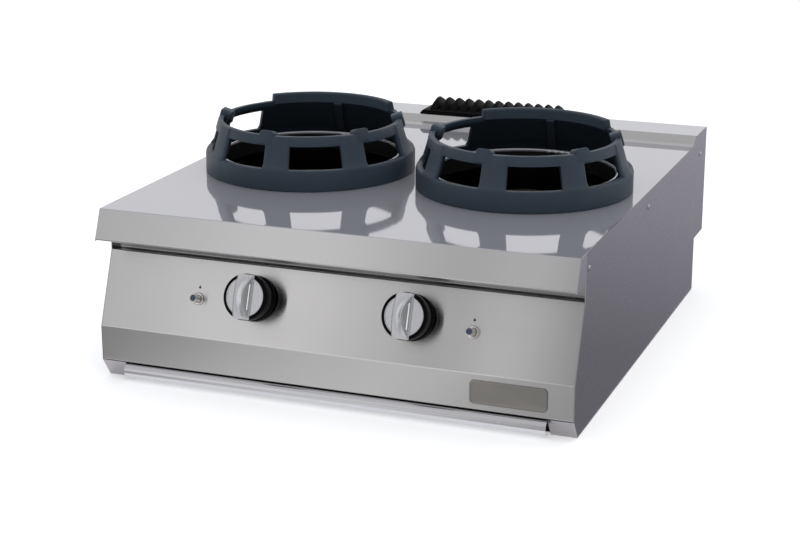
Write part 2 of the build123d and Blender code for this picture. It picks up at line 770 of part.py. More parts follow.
# --- Burner bowls, hung under the worktop inside the collars ------------------------------
bowl_flange_z = worktop_underside - thin_sheet
for side, sign in sides:
    centre = (sign * ring_x, ring_y)
    pilot_places = [
        (centre[0] + offset * pilot_spacing, centre[1] - pilot_distance) for offset in (-1, 0, 1)
    ]
    with BuildPart() as bowl:
        add(
            turned(
                centre,
                (
                    (bowl_hole_radius, bowl_floor_z),
                    (bowl_top_radius, bowl_floor_z),
                    (bowl_top_radius, bowl_flange_z),
                    (bowl_flange, bowl_flange_z),
                    (bowl_flange, worktop_underside),
                    (bowl_top_radius - thin_sheet, worktop_underside),
                    (bowl_top_radius - thin_sheet, bracket_floor),
                    (bowl_hole_radius, bracket_floor),
                ),
            )
        )
        with BuildSketch(Plane.XY.offset(bowl_floor_z)):
            with Locations(*pilot_places):
                Circle(pilot_radius + pilot_hole_gap)
        extrude(amount=2 * thin_sheet, mode=Mode.SUBTRACT)
    write(bowl.part, f"burner_bowl_{side}")

    # Burner: mixing tube, riser and head, cast in one, standing on the bowl's floor.
    head_inner = burner_head_radius - burner_head_wall
    riser_inner = burner_riser_radius - burner_riser_wall
    with BuildPart() as burner:
        add(
            turned(
                centre,
                (
                    (0, burner_axis_z - burner_riser_radius),
                    (burner_riser_radius, burner_axis_z - burner_riser_radius),
                    (burner_riser_radius, bracket_floor),
                    (burner_foot_radius, bracket_floor),
                    (burner_foot_radius, bracket_floor + burner_foot_height),
                    (burner_riser_radius, bracket_floor + burner_foot_height),
                    (burner_riser_radius, burner_head_bottom - burner_head_wall),
                    (burner_head_radius, burner_head_bottom),
                    (burner_head_radius, burner_head_top),
                    (0, burner_head_top),
                ),
            )
        )
        with BuildSketch(Plane.YZ.offset(centre[0])):
            with BuildLine():
                Polyline(
                    (centre[1], burner_axis_z),
                    (centre[1], burner_axis_z + venturi_throat_radius + venturi_wall),
                    (venturi_front_y + venturi_flare, burner_axis_z + venturi_throat_radius + venturi_wall),
                    (venturi_front_y, burner_axis_z + venturi_mouth_radius),
                    (venturi_front_y, burner_axis_z),
                    close=True,
                )
            make_face()
        revolve(axis=Axis((centre[0], 0, burner_axis_z), (0, 1, 0)))
        with BuildSketch(Plane.YZ.offset(centre[0])):
            with BuildLine():
                Polyline(
                    (centre[1], burner_axis_z),
                    (centre[1], burner_axis_z + venturi_throat_radius),
                    (venturi_front_y + venturi_flare, burner_axis_z + venturi_throat_radius),
                    (venturi_front_y, burner_axis_z + venturi_mouth_radius - venturi_wall),
                    (venturi_front_y, burner_axis_z),
                    close=True,
                )
            make_face()
        revolve(axis=Axis((centre[0], 0, burner_axis_z), (0, 1, 0)), mode=Mode.SUBTRACT)
        add(
            turned(
                centre,
                (
                    (0, burner_axis_z - riser_inner),
                    (riser_inner, burner_axis_z - riser_inner),
                    (riser_inner, burner_head_bottom),
                    (head_inner, burner_head_bottom + burner_head_wall),
                    (head_inner, burner_head_top),
                    (0, burner_head_top),
                ),
            ),
            mode=Mode.SUBTRACT,
        )
    write(burner.part, f"burner_{side}")

    # Burner cap with its flame ports; a spigot locates it in the head.
    spigot_radius = head_inner - seat_gap
    cap_bottom = burner_head_top + seat_gap
    with BuildPart() as burner_cap:
        add(
            turned(
                centre,
                (
                    (0, cap_bottom + burner_cap_edge),
                    (spigot_radius - spigot_wall, cap_bottom),
                    (spigot_radius - spigot_wall, cap_bottom - spigot_depth),
                    (spigot_radius, cap_bottom - spigot_depth),
                    (spigot_radius, cap_bottom),
                    (burner_head_radius, cap_bottom),
                    (burner_head_radius, cap_bottom + burner_cap_edge),
                    (burner_head_radius - burner_cap_shoulder, cap_bottom + burner_cap_height),
                    (0, cap_bottom + burner_cap_height),
                ),
            )
        )
        with BuildSketch(Plane.XY.offset(cap_bottom + burner_cap_height)):
            with Locations(centre):
                with PolarLocations(spigot_radius - port_ring_inset, burner_ports):
                    Circle(burner_port_radius)
                with PolarLocations(spigot_radius - inner_port_ring_inset, burner_ports // 2):
                    Circle(burner_port_radius)
        extrude(amount=-burner_cap_height, mode=Mode.SUBTRACT)
    write(burner_cap.part, f"burner_cap_{side}")

    # Bracket that carries pilot, thermocouple and electrode; it stands on the bowl's floor.
    bracket_y = centre[1] - pilot_distance
    arm_z = bracket_floor + bracket_height
    with BuildPart() as bracket:
        with BuildSketch(Plane.XY.offset(bracket_floor)):
            with Locations((centre[0], bracket_y)):
                Rectangle(2 * bracket_half_length, bracket_width)
            with Locations(*pilot_places):
                Circle(pilot_radius + pilot_hole_gap, mode=Mode.SUBTRACT)
        extrude(amount=thin_sheet)
        with BuildSketch(Plane.XY.offset(arm_z)):
            with Locations((centre[0], bracket_y)):
                Rectangle(2 * bracket_half_length, bracket_width)
        extrude(amount=2 * thin_sheet)
        for end in (-1, 1):
            leg_x = centre[0] + end * (bracket_half_length - thin_sheet / 2)
            with BuildSketch(Plane.XY.offset(bracket_floor)):
                with Locations((leg_x, bracket_y)):
                    Rectangle(thin_sheet, bracket_width)
            extrude(amount=bracket_height)
        for place, radius in zip(pilot_places, (probe_radius, pilot_radius, electrode_radius)):
            with BuildSketch(Plane.XY.offset(arm_z)):
                with Locations(place):
                    Circle(radius)
            extrude(amount=2 * thin_sheet, mode=Mode.SUBTRACT)
    write(bracket.part, f"pilot_bracket_{side}")

    with BuildPart() as thermocouple:
        with BuildSketch(Plane.XY.offset(pilot_foot_z)):
            with Locations(pilot_places[0]):
                Circle(probe_radius)
        extrude(amount=probe_top - pilot_foot_z)
        fillet(thermocouple.edges().group_by(Axis.Z)[-1], probe_edge)
    write(thermocouple.part, f"thermocouple_{side}")

    with BuildPart() as pilot:
        with BuildSketch(Plane.XY.offset(pilot_foot_z)):
            with Locations(pilot_places[1]):
                Circle(pilot_radius)
                Circle(pilot_radius - pilot_wall, mode=Mode.SUBTRACT)
        extrude(amount=pilot_top - pilot_foot_z)
        with BuildSketch(Plane.XZ.offset(-pilot_places[1][1])):
            with Locations((pilot_places[1][0], pilot_top - pilot_port_drop)):
                Circle(pilot_port_radius)
        extrude(amount=2 * pilot_radius, both=True, mode=Mode.SUBTRACT)
    write(pilot.part, f"pilot_burner_{side}")

    with BuildPart() as electrode:
        with BuildSketch(Plane.XY.offset(pilot_foot_z)):
            with Locations(pilot_places[2]):
                Circle(electrode_radius)
        extrude(amount=electrode_top - electrode_tip_length - pilot_foot_z)
        with BuildSketch(Plane.XY.offset(electrode_top - electrode_tip_length)):
            with Locations(pilot_places[2]):
                Circle(electrode_tip_radius)
        extrude(amount=electrode_tip_length)
    write(electrode.part, f"spark_electrode_{side}")

    # Pilot tube from the valve's side to the pilot's foot.
    boss_y, boss_z = panel_point(0, knob_up_panel, -pilot_boss_back)[1:]
    pilot_y = pilot_places[1][1]
    pilot_tube = pipe(
        (
            (sign * (knob_x + pilot_boss_reach), boss_y, boss_z),
            (sign * ring_x, boss_y, boss_z),
            (sign * ring_x, boss_y + lead_run, pilot_tube_z),
            (sign * ring_x, pilot_y, pilot_tube_z),
            (sign * ring_x, pilot_y, pilot_foot_z),
        ),
        lead_bend,
        pilot_tube_radius,
        pilot_tube_radius - pilot_tube_wall,
    )
    write(pilot_tube, f"pilot_tube_{side}")

    # Spark lead from the igniter's back to the electrode's foot.
    electrode_x = pilot_places[2][0]
    igniter_back = -sheet - igniter_body_length
    lead_turn_y = panel_point(0, igniter_up_panel, igniter_back - lead_straight)[1] + lead_run
    spark_lead = pipe(
        (
            panel_point(sign * igniter_x, igniter_up_panel, igniter_back),
            panel_point(sign * igniter_x, igniter_up_panel, igniter_back - lead_straight),
            (sign * igniter_x, lead_turn_y, spark_lead_z),
            (electrode_x, lead_turn_y + lead_run, spark_lead_z),
            (electrode_x, pilot_y, spark_lead_z),
            (electrode_x, pilot_y, pilot_foot_z),
        ),
        lead_bend,
        spark_lead_radius,
        0,
    )
    write(spark_lead, f"spark_lead_{side}")

# --- Heat shield that also carries the injectors ------------------------------------------
manifold_point = panel_point(0, knob_up_panel - manifold_drop, -manifold_back)
with BuildPart() as heat_shield:
    with BuildSketch(Plane.XZ.offset(-shield_y)):
        with Locations((0, (shield_foot_z + shield_top_z) / 2)):
            Rectangle(2 * (inner_half_width - thin_sheet), shield_top_z - shield_foot_z)
        with Locations(*[(s * ring_x, burner_axis_z) for _, s in sides]):
            Circle(injector_radius, mode=Mode.SUBTRACT)
        with Locations((inlet_x, manifold_point[2])):
            Circle(manifold_radius + shield_hole_gap, mode=Mode.SUBTRACT)
        with Locations(*[(s * ring_x, pilot_tube_z) for _, s in sides]):
            Circle(pilot_tube_radius + shield_hole_gap, mode=Mode.SUBTRACT)
        with Locations(*[(s * ring_x + pilot_spacing, spark_lead_z) for _, s in sides]):
            Circle(spark_lead_radius + shield_hole_gap, mode=Mode.SUBTRACT)
    extrude(amount=-thin_sheet)
    for _, sign in sides:
        with BuildSketch(Plane.YZ.offset(sign * inner_half_width)):
            with Locations((shield_y + shield_flange / 2, (shield_foot_z + shield_top_z) / 2)):
                Rectangle(shield_flange, shield_top_z - shield_foot_z)
        extrude(amount=-sign * thin_sheet)
write(heat_shield.part, "heat_shield")

# --- Gas valves, turning plugs, stems, feeds and injectors --------------------------------
for side, sign in sides:
    axis_x = sign * knob_x
    manifold_slot = Plane(
        origin=(axis_x - saddle_half_length, manifold_point[1], manifold_point[2]),
        x_dir=(0, 1, 0),
        z_dir=(1, 0, 0),
    )
    inlet_boss = Plane(
        origin=knob_plane(sign, -manifold_back).origin, x_dir=(1, 0, 0), z_dir=-knob_plane(sign, 0).y_dir
    )
    pilot_boss = Plane(origin=knob_plane(sign, -pilot_boss_back).origin, x_dir=(0, 1, 0), z_dir=(sign, 0, 0))
    with BuildPart() as gas_valve:
        with BuildSketch(knob_plane(sign, -sheet)):
            Circle(valve_flange_radius)
        extrude(amount=-valve_flange)
        with BuildSketch(knob_plane(sign, -sheet)):
            Circle(valve_radius)
        extrude(amount=-(valve_back - sheet))
        # Inlet boss, saddled on the manifold.
        with BuildSketch(inlet_boss):
            Circle(valve_boss_radius)
        extrude(amount=manifold_drop)
        with BuildSketch(manifold_slot):
            Circle(manifold_radius)
        extrude(amount=2 * saddle_half_length, mode=Mode.SUBTRACT)
        with BuildSketch(pilot_boss):
            Circle(pilot_boss_radius)
        extrude(amount=pilot_boss_reach)
        with BuildSketch(knob_plane(sign, -plug_front)):
            Circle(plug_radius + running_gap)
        extrude(amount=-(plug_back - plug_front + running_gap), mode=Mode.SUBTRACT)
        with BuildSketch(knob_plane(sign, -sheet)):
            Circle(stem_radius + stem_bore_gap)
        extrude(amount=-plug_front, mode=Mode.SUBTRACT)
    write(gas_valve.part, f"gas_valve_{side}")

    with BuildPart() as valve_plug:
        with BuildSketch(knob_plane(sign, -plug_front - running_gap)):
            Circle(plug_radius)
        extrude(amount=-(plug_back - plug_front - running_gap))
        with BuildSketch(knob_plane(sign, -plug_front)):
            Circle(stem_radius + running_gap)
            with Locations((0, stem_flat + running_gap + stem_radius)):
                Rectangle(4 * stem_radius, 2 * stem_radius, mode=Mode.SUBTRACT)
        extrude(amount=-(stem_back + knob_travel + travel_spare - plug_front), mode=Mode.SUBTRACT)
    write(valve_plug.part, f"valve_plug_{side}")

    with BuildPart() as stem:
        with BuildSketch(knob_plane(sign, -stem_back)):
            Circle(stem_radius)
            with Locations((0, stem_flat + stem_radius)):
                Rectangle(4 * stem_radius, 2 * stem_radius, mode=Mode.SUBTRACT)
        extrude(amount=stem_back + stem_front)
    write(stem.part, f"valve_stem_{side}")

    # Feed pipe from the valve's outlet to the injector behind the mixing tube's mouth.
    feed_start = panel_point(axis_x, knob_up_panel, -valve_back)
    feed_turn = panel_point(axis_x, knob_up_panel, -valve_back - feed_head)
    feed_end_y = shield_y - injector_hex
    feed = pipe(
        (
            feed_start,
            feed_turn,
            (sign * ring_x, feed_end_y - feed_tail, burner_axis_z),
            (sign * ring_x, feed_end_y, burner_axis_z),
        ),
        feed_bend,
        feed_radius,
        feed_radius - feed_wall,
    )
    write(feed, f"feed_pipe_{side}")

    with BuildPart() as injector:
        with BuildSketch(Plane.XZ.offset(-feed_end_y)):
            with Locations((sign * ring_x, burner_axis_z)):
                RegularPolygon(injector_hex_radius, 6)
                Circle(injector_bore_radius, mode=Mode.SUBTRACT)
        extrude(amount=-injector_hex)
        with BuildSketch(Plane.XZ.offset(-shield_y)):
            with Locations((sign * ring_x, burner_axis_z)):
                Circle(injector_radius)
                Circle(injector_bore_radius, mode=Mode.SUBTRACT)
        extrude(amount=-injector_length)
    write(injector.part, f"injector_{side}")

# --- Gas manifold, supply pipe and threaded inlet -----------------------------------------
with BuildPart() as manifold:
    with BuildSketch(Plane.YZ.offset(manifold_left)):
        with Locations((manifold_point[1], manifold_point[2])):
            Circle(manifold_radius)
    extrude(amount=manifold_right - manifold_left)
    with BuildSketch(Plane.YZ.offset(manifold_left + manifold_wall)):
        with Locations((manifold_point[1], manifold_point[2])):
            Circle(manifold_radius - manifold_wall)
    extrude(amount=manifold_right - manifold_left, mode=Mode.SUBTRACT)
write(manifold.part, "gas_manifold")

supply = pipe(
    (
        (manifold_right, manifold_point[1], manifold_point[2]),
        (inlet_x, manifold_point[1], manifold_point[2]),
        (inlet_x, supply_rear_y, manifold_point[2]),
        (inlet_x, supply_rear_y, inlet_z),
        (inlet_x, step_y - sheet - inlet_nut, inlet_z),
    ),
    supply_bend,
    manifold_radius,
    manifold_radius - manifold_wall,
)
write(supply, "supply_pipe")

with BuildPart() as gas_inlet:
    with BuildSketch(Plane.XZ.offset(-(step_y - sheet - inlet_nut))):
        with Locations((inlet_x, inlet_z)):
            RegularPolygon(inlet_nut_radius, 6)
    extrude(amount=-inlet_nut)
    with BuildSketch(Plane.XZ.offset(-(step_y - sheet))):
        with Locations((inlet_x, inlet_z)):
            Circle(inlet_radius)
    extrude(amount=-(sheet + inlet_nut + inlet_thread_length))
    with BuildSketch(Plane.XZ.offset(-step_y)):
        with Locations((inlet_x, inlet_z)):
            RegularPolygon(inlet_nut_radius, 6)
    extrude(amount=-inlet_nut)
    with BuildSketch(Plane.XZ.offset(-(step_y - sheet - inlet_nut))):
        with Locations((inlet_x, inlet_z)):
            Circle(inlet_bore_radius)
    extrude(amount=-(2 * inlet_nut + sheet + inlet_thread_length), mode=Mode.SUBTRACT)
write(gas_inlet.part, "gas_inlet")

# --- Knobs: black body, satin insert with its grip ----------------------------------------
knob_back = knob_travel + knob_gap
recess_floor = knob_front - insert_recess


def lens(length, breadth):
    """Plan of the grip: two arcs meeting in blunt points along the local Y axis."""
    with BuildSketch() as outline:
        with BuildLine():
            ThreePointArc((0, -length / 2), (breadth / 2, 0), (0, length / 2))
            ThreePointArc((0, length / 2), (-breadth / 2, 0), (0, -length / 2))
        make_face()
    return outline.sketch


for side, sign in sides:
    with BuildPart() as knob:
        with BuildSketch(knob_plane(sign, knob_back)):
            Circle(knob_radius)
        extrude(amount=knob_skirt)
        with BuildSketch(knob_plane(sign, knob_back + knob_skirt)):
            Circle(knob_waist_radius)
        extrude(amount=knob_waist_end - knob_back - knob_skirt)
        with BuildSketch(knob_plane(sign, knob_waist_end)):
            Circle(knob_radius)
        extrude(amount=knob_front - knob_waist_end)
        fillet(front_rim(knob, knob_plane(sign, 0)), knob_edge)
        with BuildSketch(knob_plane(sign, knob_back)):
            Circle(knob_waist_radius - knob_wall)
            Circle(knob_hub_radius, mode=Mode.SUBTRACT)
        extrude(amount=recess_floor - knob_wall - knob_back, mode=Mode.SUBTRACT)
        with BuildSketch(knob_plane(sign, recess_floor)):
            Circle(insert_radius)
        extrude(amount=insert_recess, mode=Mode.SUBTRACT)
        with BuildSketch(knob_plane(sign, knob_back)):
            Circle(stem_radius)
            with Locations((0, stem_flat + stem_radius)):
                Rectangle(4 * stem_radius, 2 * stem_radius, mode=Mode.SUBTRACT)
        extrude(amount=stem_front - knob_back, mode=Mode.SUBTRACT)
    write(knob.part, f"knob_{side}")

    with BuildPart() as insert:
        with BuildSketch(knob_plane(sign, recess_floor)):
            Circle(insert_radius)
        extrude(amount=insert_thickness)
        with BuildSketch(knob_plane(sign, knob_front)):
            add(lens(grip_length, grip_base_width))
        with BuildSketch(knob_plane(sign, knob_front + grip_height)):
            add(lens(grip_top_length, grip_top_width))
        loft(ruled=True)
        with BuildSketch(knob_plane(sign, recess_floor)):
            add(lens(grip_foot_length, grip_base_width))
        extrude(amount=insert_recess)
        with BuildSketch(knob_plane(sign, knob_front + grip_height)):
            Rectangle(groove_width, groove_length)
        extrude(amount=-groove_depth, mode=Mode.SUBTRACT)
    write(insert.part, f"knob_insert_{side}")

# --- Igniters: collar, body behind the panel, sprung button -------------------------------
button_bore = button_radius + button_gap
for side, sign in sides:
    with BuildPart() as collar:
        with BuildSketch(igniter_plane(sign, 0)):
            Circle(igniter_collar_radius)
            Circle(button_bore, mode=Mode.SUBTRACT)
        extrude(amount=igniter_collar)
        chamfer(front_rim(collar, igniter_plane(sign, 0)), igniter_collar_edge)
    write(collar.part, f"igniter_collar_{side}")

    with BuildPart() as igniter:
        with BuildSketch(igniter_plane(sign, -sheet)):
            Circle(igniter_body_radius)
        extrude(amount=-igniter_body_length)
        with BuildSketch(igniter_plane(sign, 0)):
            Circle(igniter_neck_radius - igniter_neck_gap)
        extrude(amount=-2 * sheet)
        with BuildSketch(igniter_plane(sign, 0)):
            Circle(button_bore)
        extrude(amount=-(button_back + igniter_travel + travel_spare), mode=Mode.SUBTRACT)
    write(igniter.part, f"igniter_{side}")

    with BuildPart() as button:
        with BuildSketch(igniter_plane(sign, -button_back)):
            Circle(button_radius)
        extrude(amount=button_back + button_front)
        with BuildSketch(igniter_plane(sign, button_front)):
            Circle(button_dish_radius)
        extrude(amount=-button_dish, mode=Mode.SUBTRACT)
        chamfer(front_rim(button, igniter_plane(sign, 0)), button_edge)
    write(button.part, f"igniter_button_{side}")

# --- Drip tray and its runners ------------------------------------------------------------
tray_back_y = tray_nose_y + tray_length
for side, sign in sides:
    with BuildPart() as runner:
        run_front = base_pan_front + runner_front_gap
        run_length = base_pan_rear - sheet - bend_room - run_front
        with BuildSketch(Plane.XY.offset(base_pan_top)):
            with Locations((sign * (runner_half_span - runner_ledge / 2), run_front + run_length / 2)):
                Rectangle(runner_ledge, run_length)
        extrude(amount=thin_sheet)
        with BuildSketch(Plane.XY.offset(base_pan_top)):
            with Locations((sign * (runner_half_span - thin_sheet / 2), run_front + run_length / 2)):
                Rectangle(thin_sheet, run_length)
        extrude(amount=runner_height)
    write(runner.part, f"tray_runner_{side}")

nose_inner = tray_nose_radius - thin_sheet
with BuildPart() as drip_tray:
    with BuildSketch(Plane.XY.offset(tray_floor)):
        with Locations((0, (tray_nose_y + tray_back_y) / 2)):
            Rectangle(2 * tray_half_width, tray_length)
    extrude(amount=tray_depth)
    with BuildSketch(Plane.XY.offset(tray_floor + thin_sheet)):
        with Locations((0, (tray_nose_y + tray_back_y) / 2)):
            Rectangle(2 * (tray_half_width - thin_sheet), tray_length - 2 * thin_sheet)
    extrude(amount=tray_depth, mode=Mode.SUBTRACT)
    with BuildSketch(Plane.YZ.offset(-tray_nose_half_width)):
        with BuildLine():
            for reach in (tray_nose_radius, nose_inner):
                ThreePointArc(
                    (tray_nose_y, tray_nose_z - reach),
                    (tray_nose_y - reach, tray_nose_z),
                    (tray_nose_y, tray_nose_z + reach),
                )
            for way in (-1, 1):
                Line(
                    (tray_nose_y, tray_nose_z + way * tray_nose_radius),
                    (tray_nose_y, tray_nose_z + way * nose_inner),
                )
        make_face()
    extrude(amount=2 * tray_nose_half_width)
write(drip_tray.part, "drip_tray")

# --- Flue duct and grille -----------------------------------------------------------------
flue_length = flue_rear_y - flue_front_y
with BuildPart() as flue_duct:
    with BuildSketch(Plane.XY.offset(duct_bottom)):
        with Locations((0, flue_middle_y)):
            Rectangle(2 * (flue_half_width + duct_wall), flue_length + 2 * duct_wall)
            Rectangle(2 * flue_half_width, flue_length, mode=Mode.SUBTRACT)
    extrude(amount=upstand_top - sheet - duct_bottom)
write(flue_duct.part, "flue_duct")

grille_bottom = upstand_top + seat_gap
slot_width = grille_tooth_pitch - grille_tooth_width
tooth_foot = grille_bottom + grille_base
tooth_tip = tooth_foot + grille_tooth_rise
with BuildPart() as flue_grille:
    with BuildSketch(Plane.XY.offset(grille_bottom)):
        with Locations((0, flue_middle_y)):
            Rectangle(2 * grille_half_width, grille_depth)
            with GridLocations(grille_tooth_pitch, 0, grille_teeth + 1, 1):
                Rectangle(slot_width, flue_length - grille_slot_margin, mode=Mode.SUBTRACT)
    extrude(amount=grille_base)
    for end in (0, -1):
        top_edges = flue_grille.edges().group_by(Axis.Z)[-1].filter_by(Axis.Y)
        chamfer(top_edges.sort_by(Axis.X)[end], grille_bevel)
    for tooth in range(grille_teeth):
        tooth_x = (tooth - (grille_teeth - 1) / 2) * grille_tooth_pitch
        with BuildSketch(Plane.XZ.offset(-(flue_middle_y + grille_depth / 2))):
            with BuildLine():
                Polyline(
                    (tooth_x - grille_tooth_width / 2, tooth_foot),
                    (tooth_x + grille_tooth_width / 2, tooth_foot),
                    (tooth_x + grille_tooth_top / 2, tooth_tip),
                    (tooth_x - grille_tooth_top / 2, tooth_tip),
                    close=True,
                )
            make_face()
        extrude(amount=grille_depth)
    # The teeth taper to the front and to the back as well.
    for way in (-1, 1):
        plate_edge = flue_middle_y + way * grille_depth / 2
        tooth_edge = plate_edge - way * grille_tooth_margin
        with BuildSketch(Plane.YZ.offset(-grille_half_width)):
            with BuildLine():
                Polyline(
                    (tooth_edge, tooth_foot),
                    (flue_middle_y + way * grille_tooth_crest / 2, tooth_tip),
                    (plate_edge, tooth_tip),
                    (plate_edge, tooth_foot),
                    close=True,
                )
            make_face()
        extrude(amount=2 * grille_half_width, mode=Mode.SUBTRACT)
write(flue_grille.part, "flue_grille")
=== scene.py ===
"""Dresses the counter-top wok range: finishes, detailed pieces, floor, lamps and camera."""

import logging
import math
from collections.abc import Mapping, Sequence
from dataclasses import dataclass, field
from enum import Enum

import bmesh
import bpy
from bmesh.types import BMEdge, BMesh, BMFace, BMVert
from mathutils import Matrix, Vector

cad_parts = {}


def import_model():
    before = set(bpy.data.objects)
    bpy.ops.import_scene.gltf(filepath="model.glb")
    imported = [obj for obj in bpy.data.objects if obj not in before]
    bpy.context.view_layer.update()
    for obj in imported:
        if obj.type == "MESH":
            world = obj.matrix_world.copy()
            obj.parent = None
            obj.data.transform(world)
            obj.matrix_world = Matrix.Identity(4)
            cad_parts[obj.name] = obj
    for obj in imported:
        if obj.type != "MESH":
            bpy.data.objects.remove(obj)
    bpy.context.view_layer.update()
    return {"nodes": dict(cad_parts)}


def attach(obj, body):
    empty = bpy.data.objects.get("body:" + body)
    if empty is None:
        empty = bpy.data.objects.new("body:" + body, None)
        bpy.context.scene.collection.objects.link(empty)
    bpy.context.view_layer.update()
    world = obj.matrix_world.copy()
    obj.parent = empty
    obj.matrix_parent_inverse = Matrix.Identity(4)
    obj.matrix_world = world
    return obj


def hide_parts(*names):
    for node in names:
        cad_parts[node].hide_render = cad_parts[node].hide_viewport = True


LOG = logging.getLogger("wok_range")
WHOLE_TURN = 2 * math.pi
WELD = 1e-5
NOISE_RANGE = (0.3, 0.7)

Colour = tuple[float, float, float]
Point = tuple[float, float, float]
Outline = Sequence[tuple[float, float]]
Socket = bpy.types.NodeSocket
Value = float | tuple[float, ...] | Socket

WHITE: Colour = (1.0, 1.0, 1.0)
BLACK: Colour = (0.0, 0.0, 0.0)


class Side(Enum):
    """The two hands of the range, with the sign of their place along X."""

    LEFT = -1
    RIGHT = 1

    def node(self, name: str) -> str:
        """Return the CAD node of that name on this side."""
        return f"{name}_{self.name.lower()}"


class Grain(Enum):
    """Direction in which a sheet's grain runs, as noise scales per metre."""

    ALONG_X = (5.0, 900.0, 900.0)
    ALONG_Y = (900.0, 5.0, 900.0)


# ---------------------------------------------------------------------------------------
# Finishes
# ---------------------------------------------------------------------------------------


class Tree:
    """A node tree, with short calls for the nodes that finishes and world share."""

    def __init__(self, tree: bpy.types.NodeTree) -> None:
        """Hold the tree.

        Args:
            tree: The node tree of a material or of the world.
        """
        self.nodes = tree.nodes
        self.links = tree.links

    def node(self, kind: str, inputs: Mapping[str | int, Value], **settings: str) -> bpy.types.Node:
        """Add a node.

        Args:
            kind: Type of the node, without its ShaderNode prefix.
            inputs: What each input is linked to or set to.
            settings: Properties of the node.

        Returns:
            The node.
        """
        node = self.nodes.new(f"ShaderNode{kind}")
        for name, setting in settings.items():
            setattr(node, name, setting)
        for slot, value in inputs.items():
            if isinstance(value, Socket):
                self.links.new(value, node.inputs[slot])
            else:
                node.inputs[slot].default_value = value
        return node

    def span(
        self, value: Socket, low: float, high: float, to_low: float = 0.0, to_high: float = 1.0
    ) -> Socket:
        """Carry a value from one range to another, held at its ends."""
        bounds = {"From Min": low, "From Max": high, "To Min": to_low, "To Max": to_high}
        return self.node("MapRange", {"Value": value, **bounds}).outputs["Result"]

    def math(self, operation: str, first: Socket, second: Socket | float = 0.0) -> Socket:
        """Combine two values with a maths node."""
        return self.node("Math", {0: first, 1: second}, operation=operation).outputs[0]

    def blend(self, share: Socket, first: Colour | Socket, second: Colour | Socket) -> Socket:
        """Mix two colours by a share that varies over the surface."""
        ends = [(*value, 1.0) if isinstance(value, tuple) else value for value in (first, second)]
        return self.node("Mix", {"Factor": share, 6: ends[0], 7: ends[1]}, data_type="RGBA").outputs[2]

    def greys(self, place: Socket, stops: Outline) -> Socket:
        """Add a colour ramp of greys.

        Args:
            place: Place along the ramp, from 0 to 1.
            stops: Place and brightness of each stop.

        Returns:
            The ramp's colour.
        """
        ramp = self.node("ValToRGB", {0: place})
        elements = ramp.color_ramp.elements
        for index, (spot, grey) in enumerate(stops):
            stop = elements[index] if index < 2 else elements.new(spot)
            stop.position = spot
            stop.color = (grey, grey, grey, 1.0)
        return ramp.outputs["Color"]


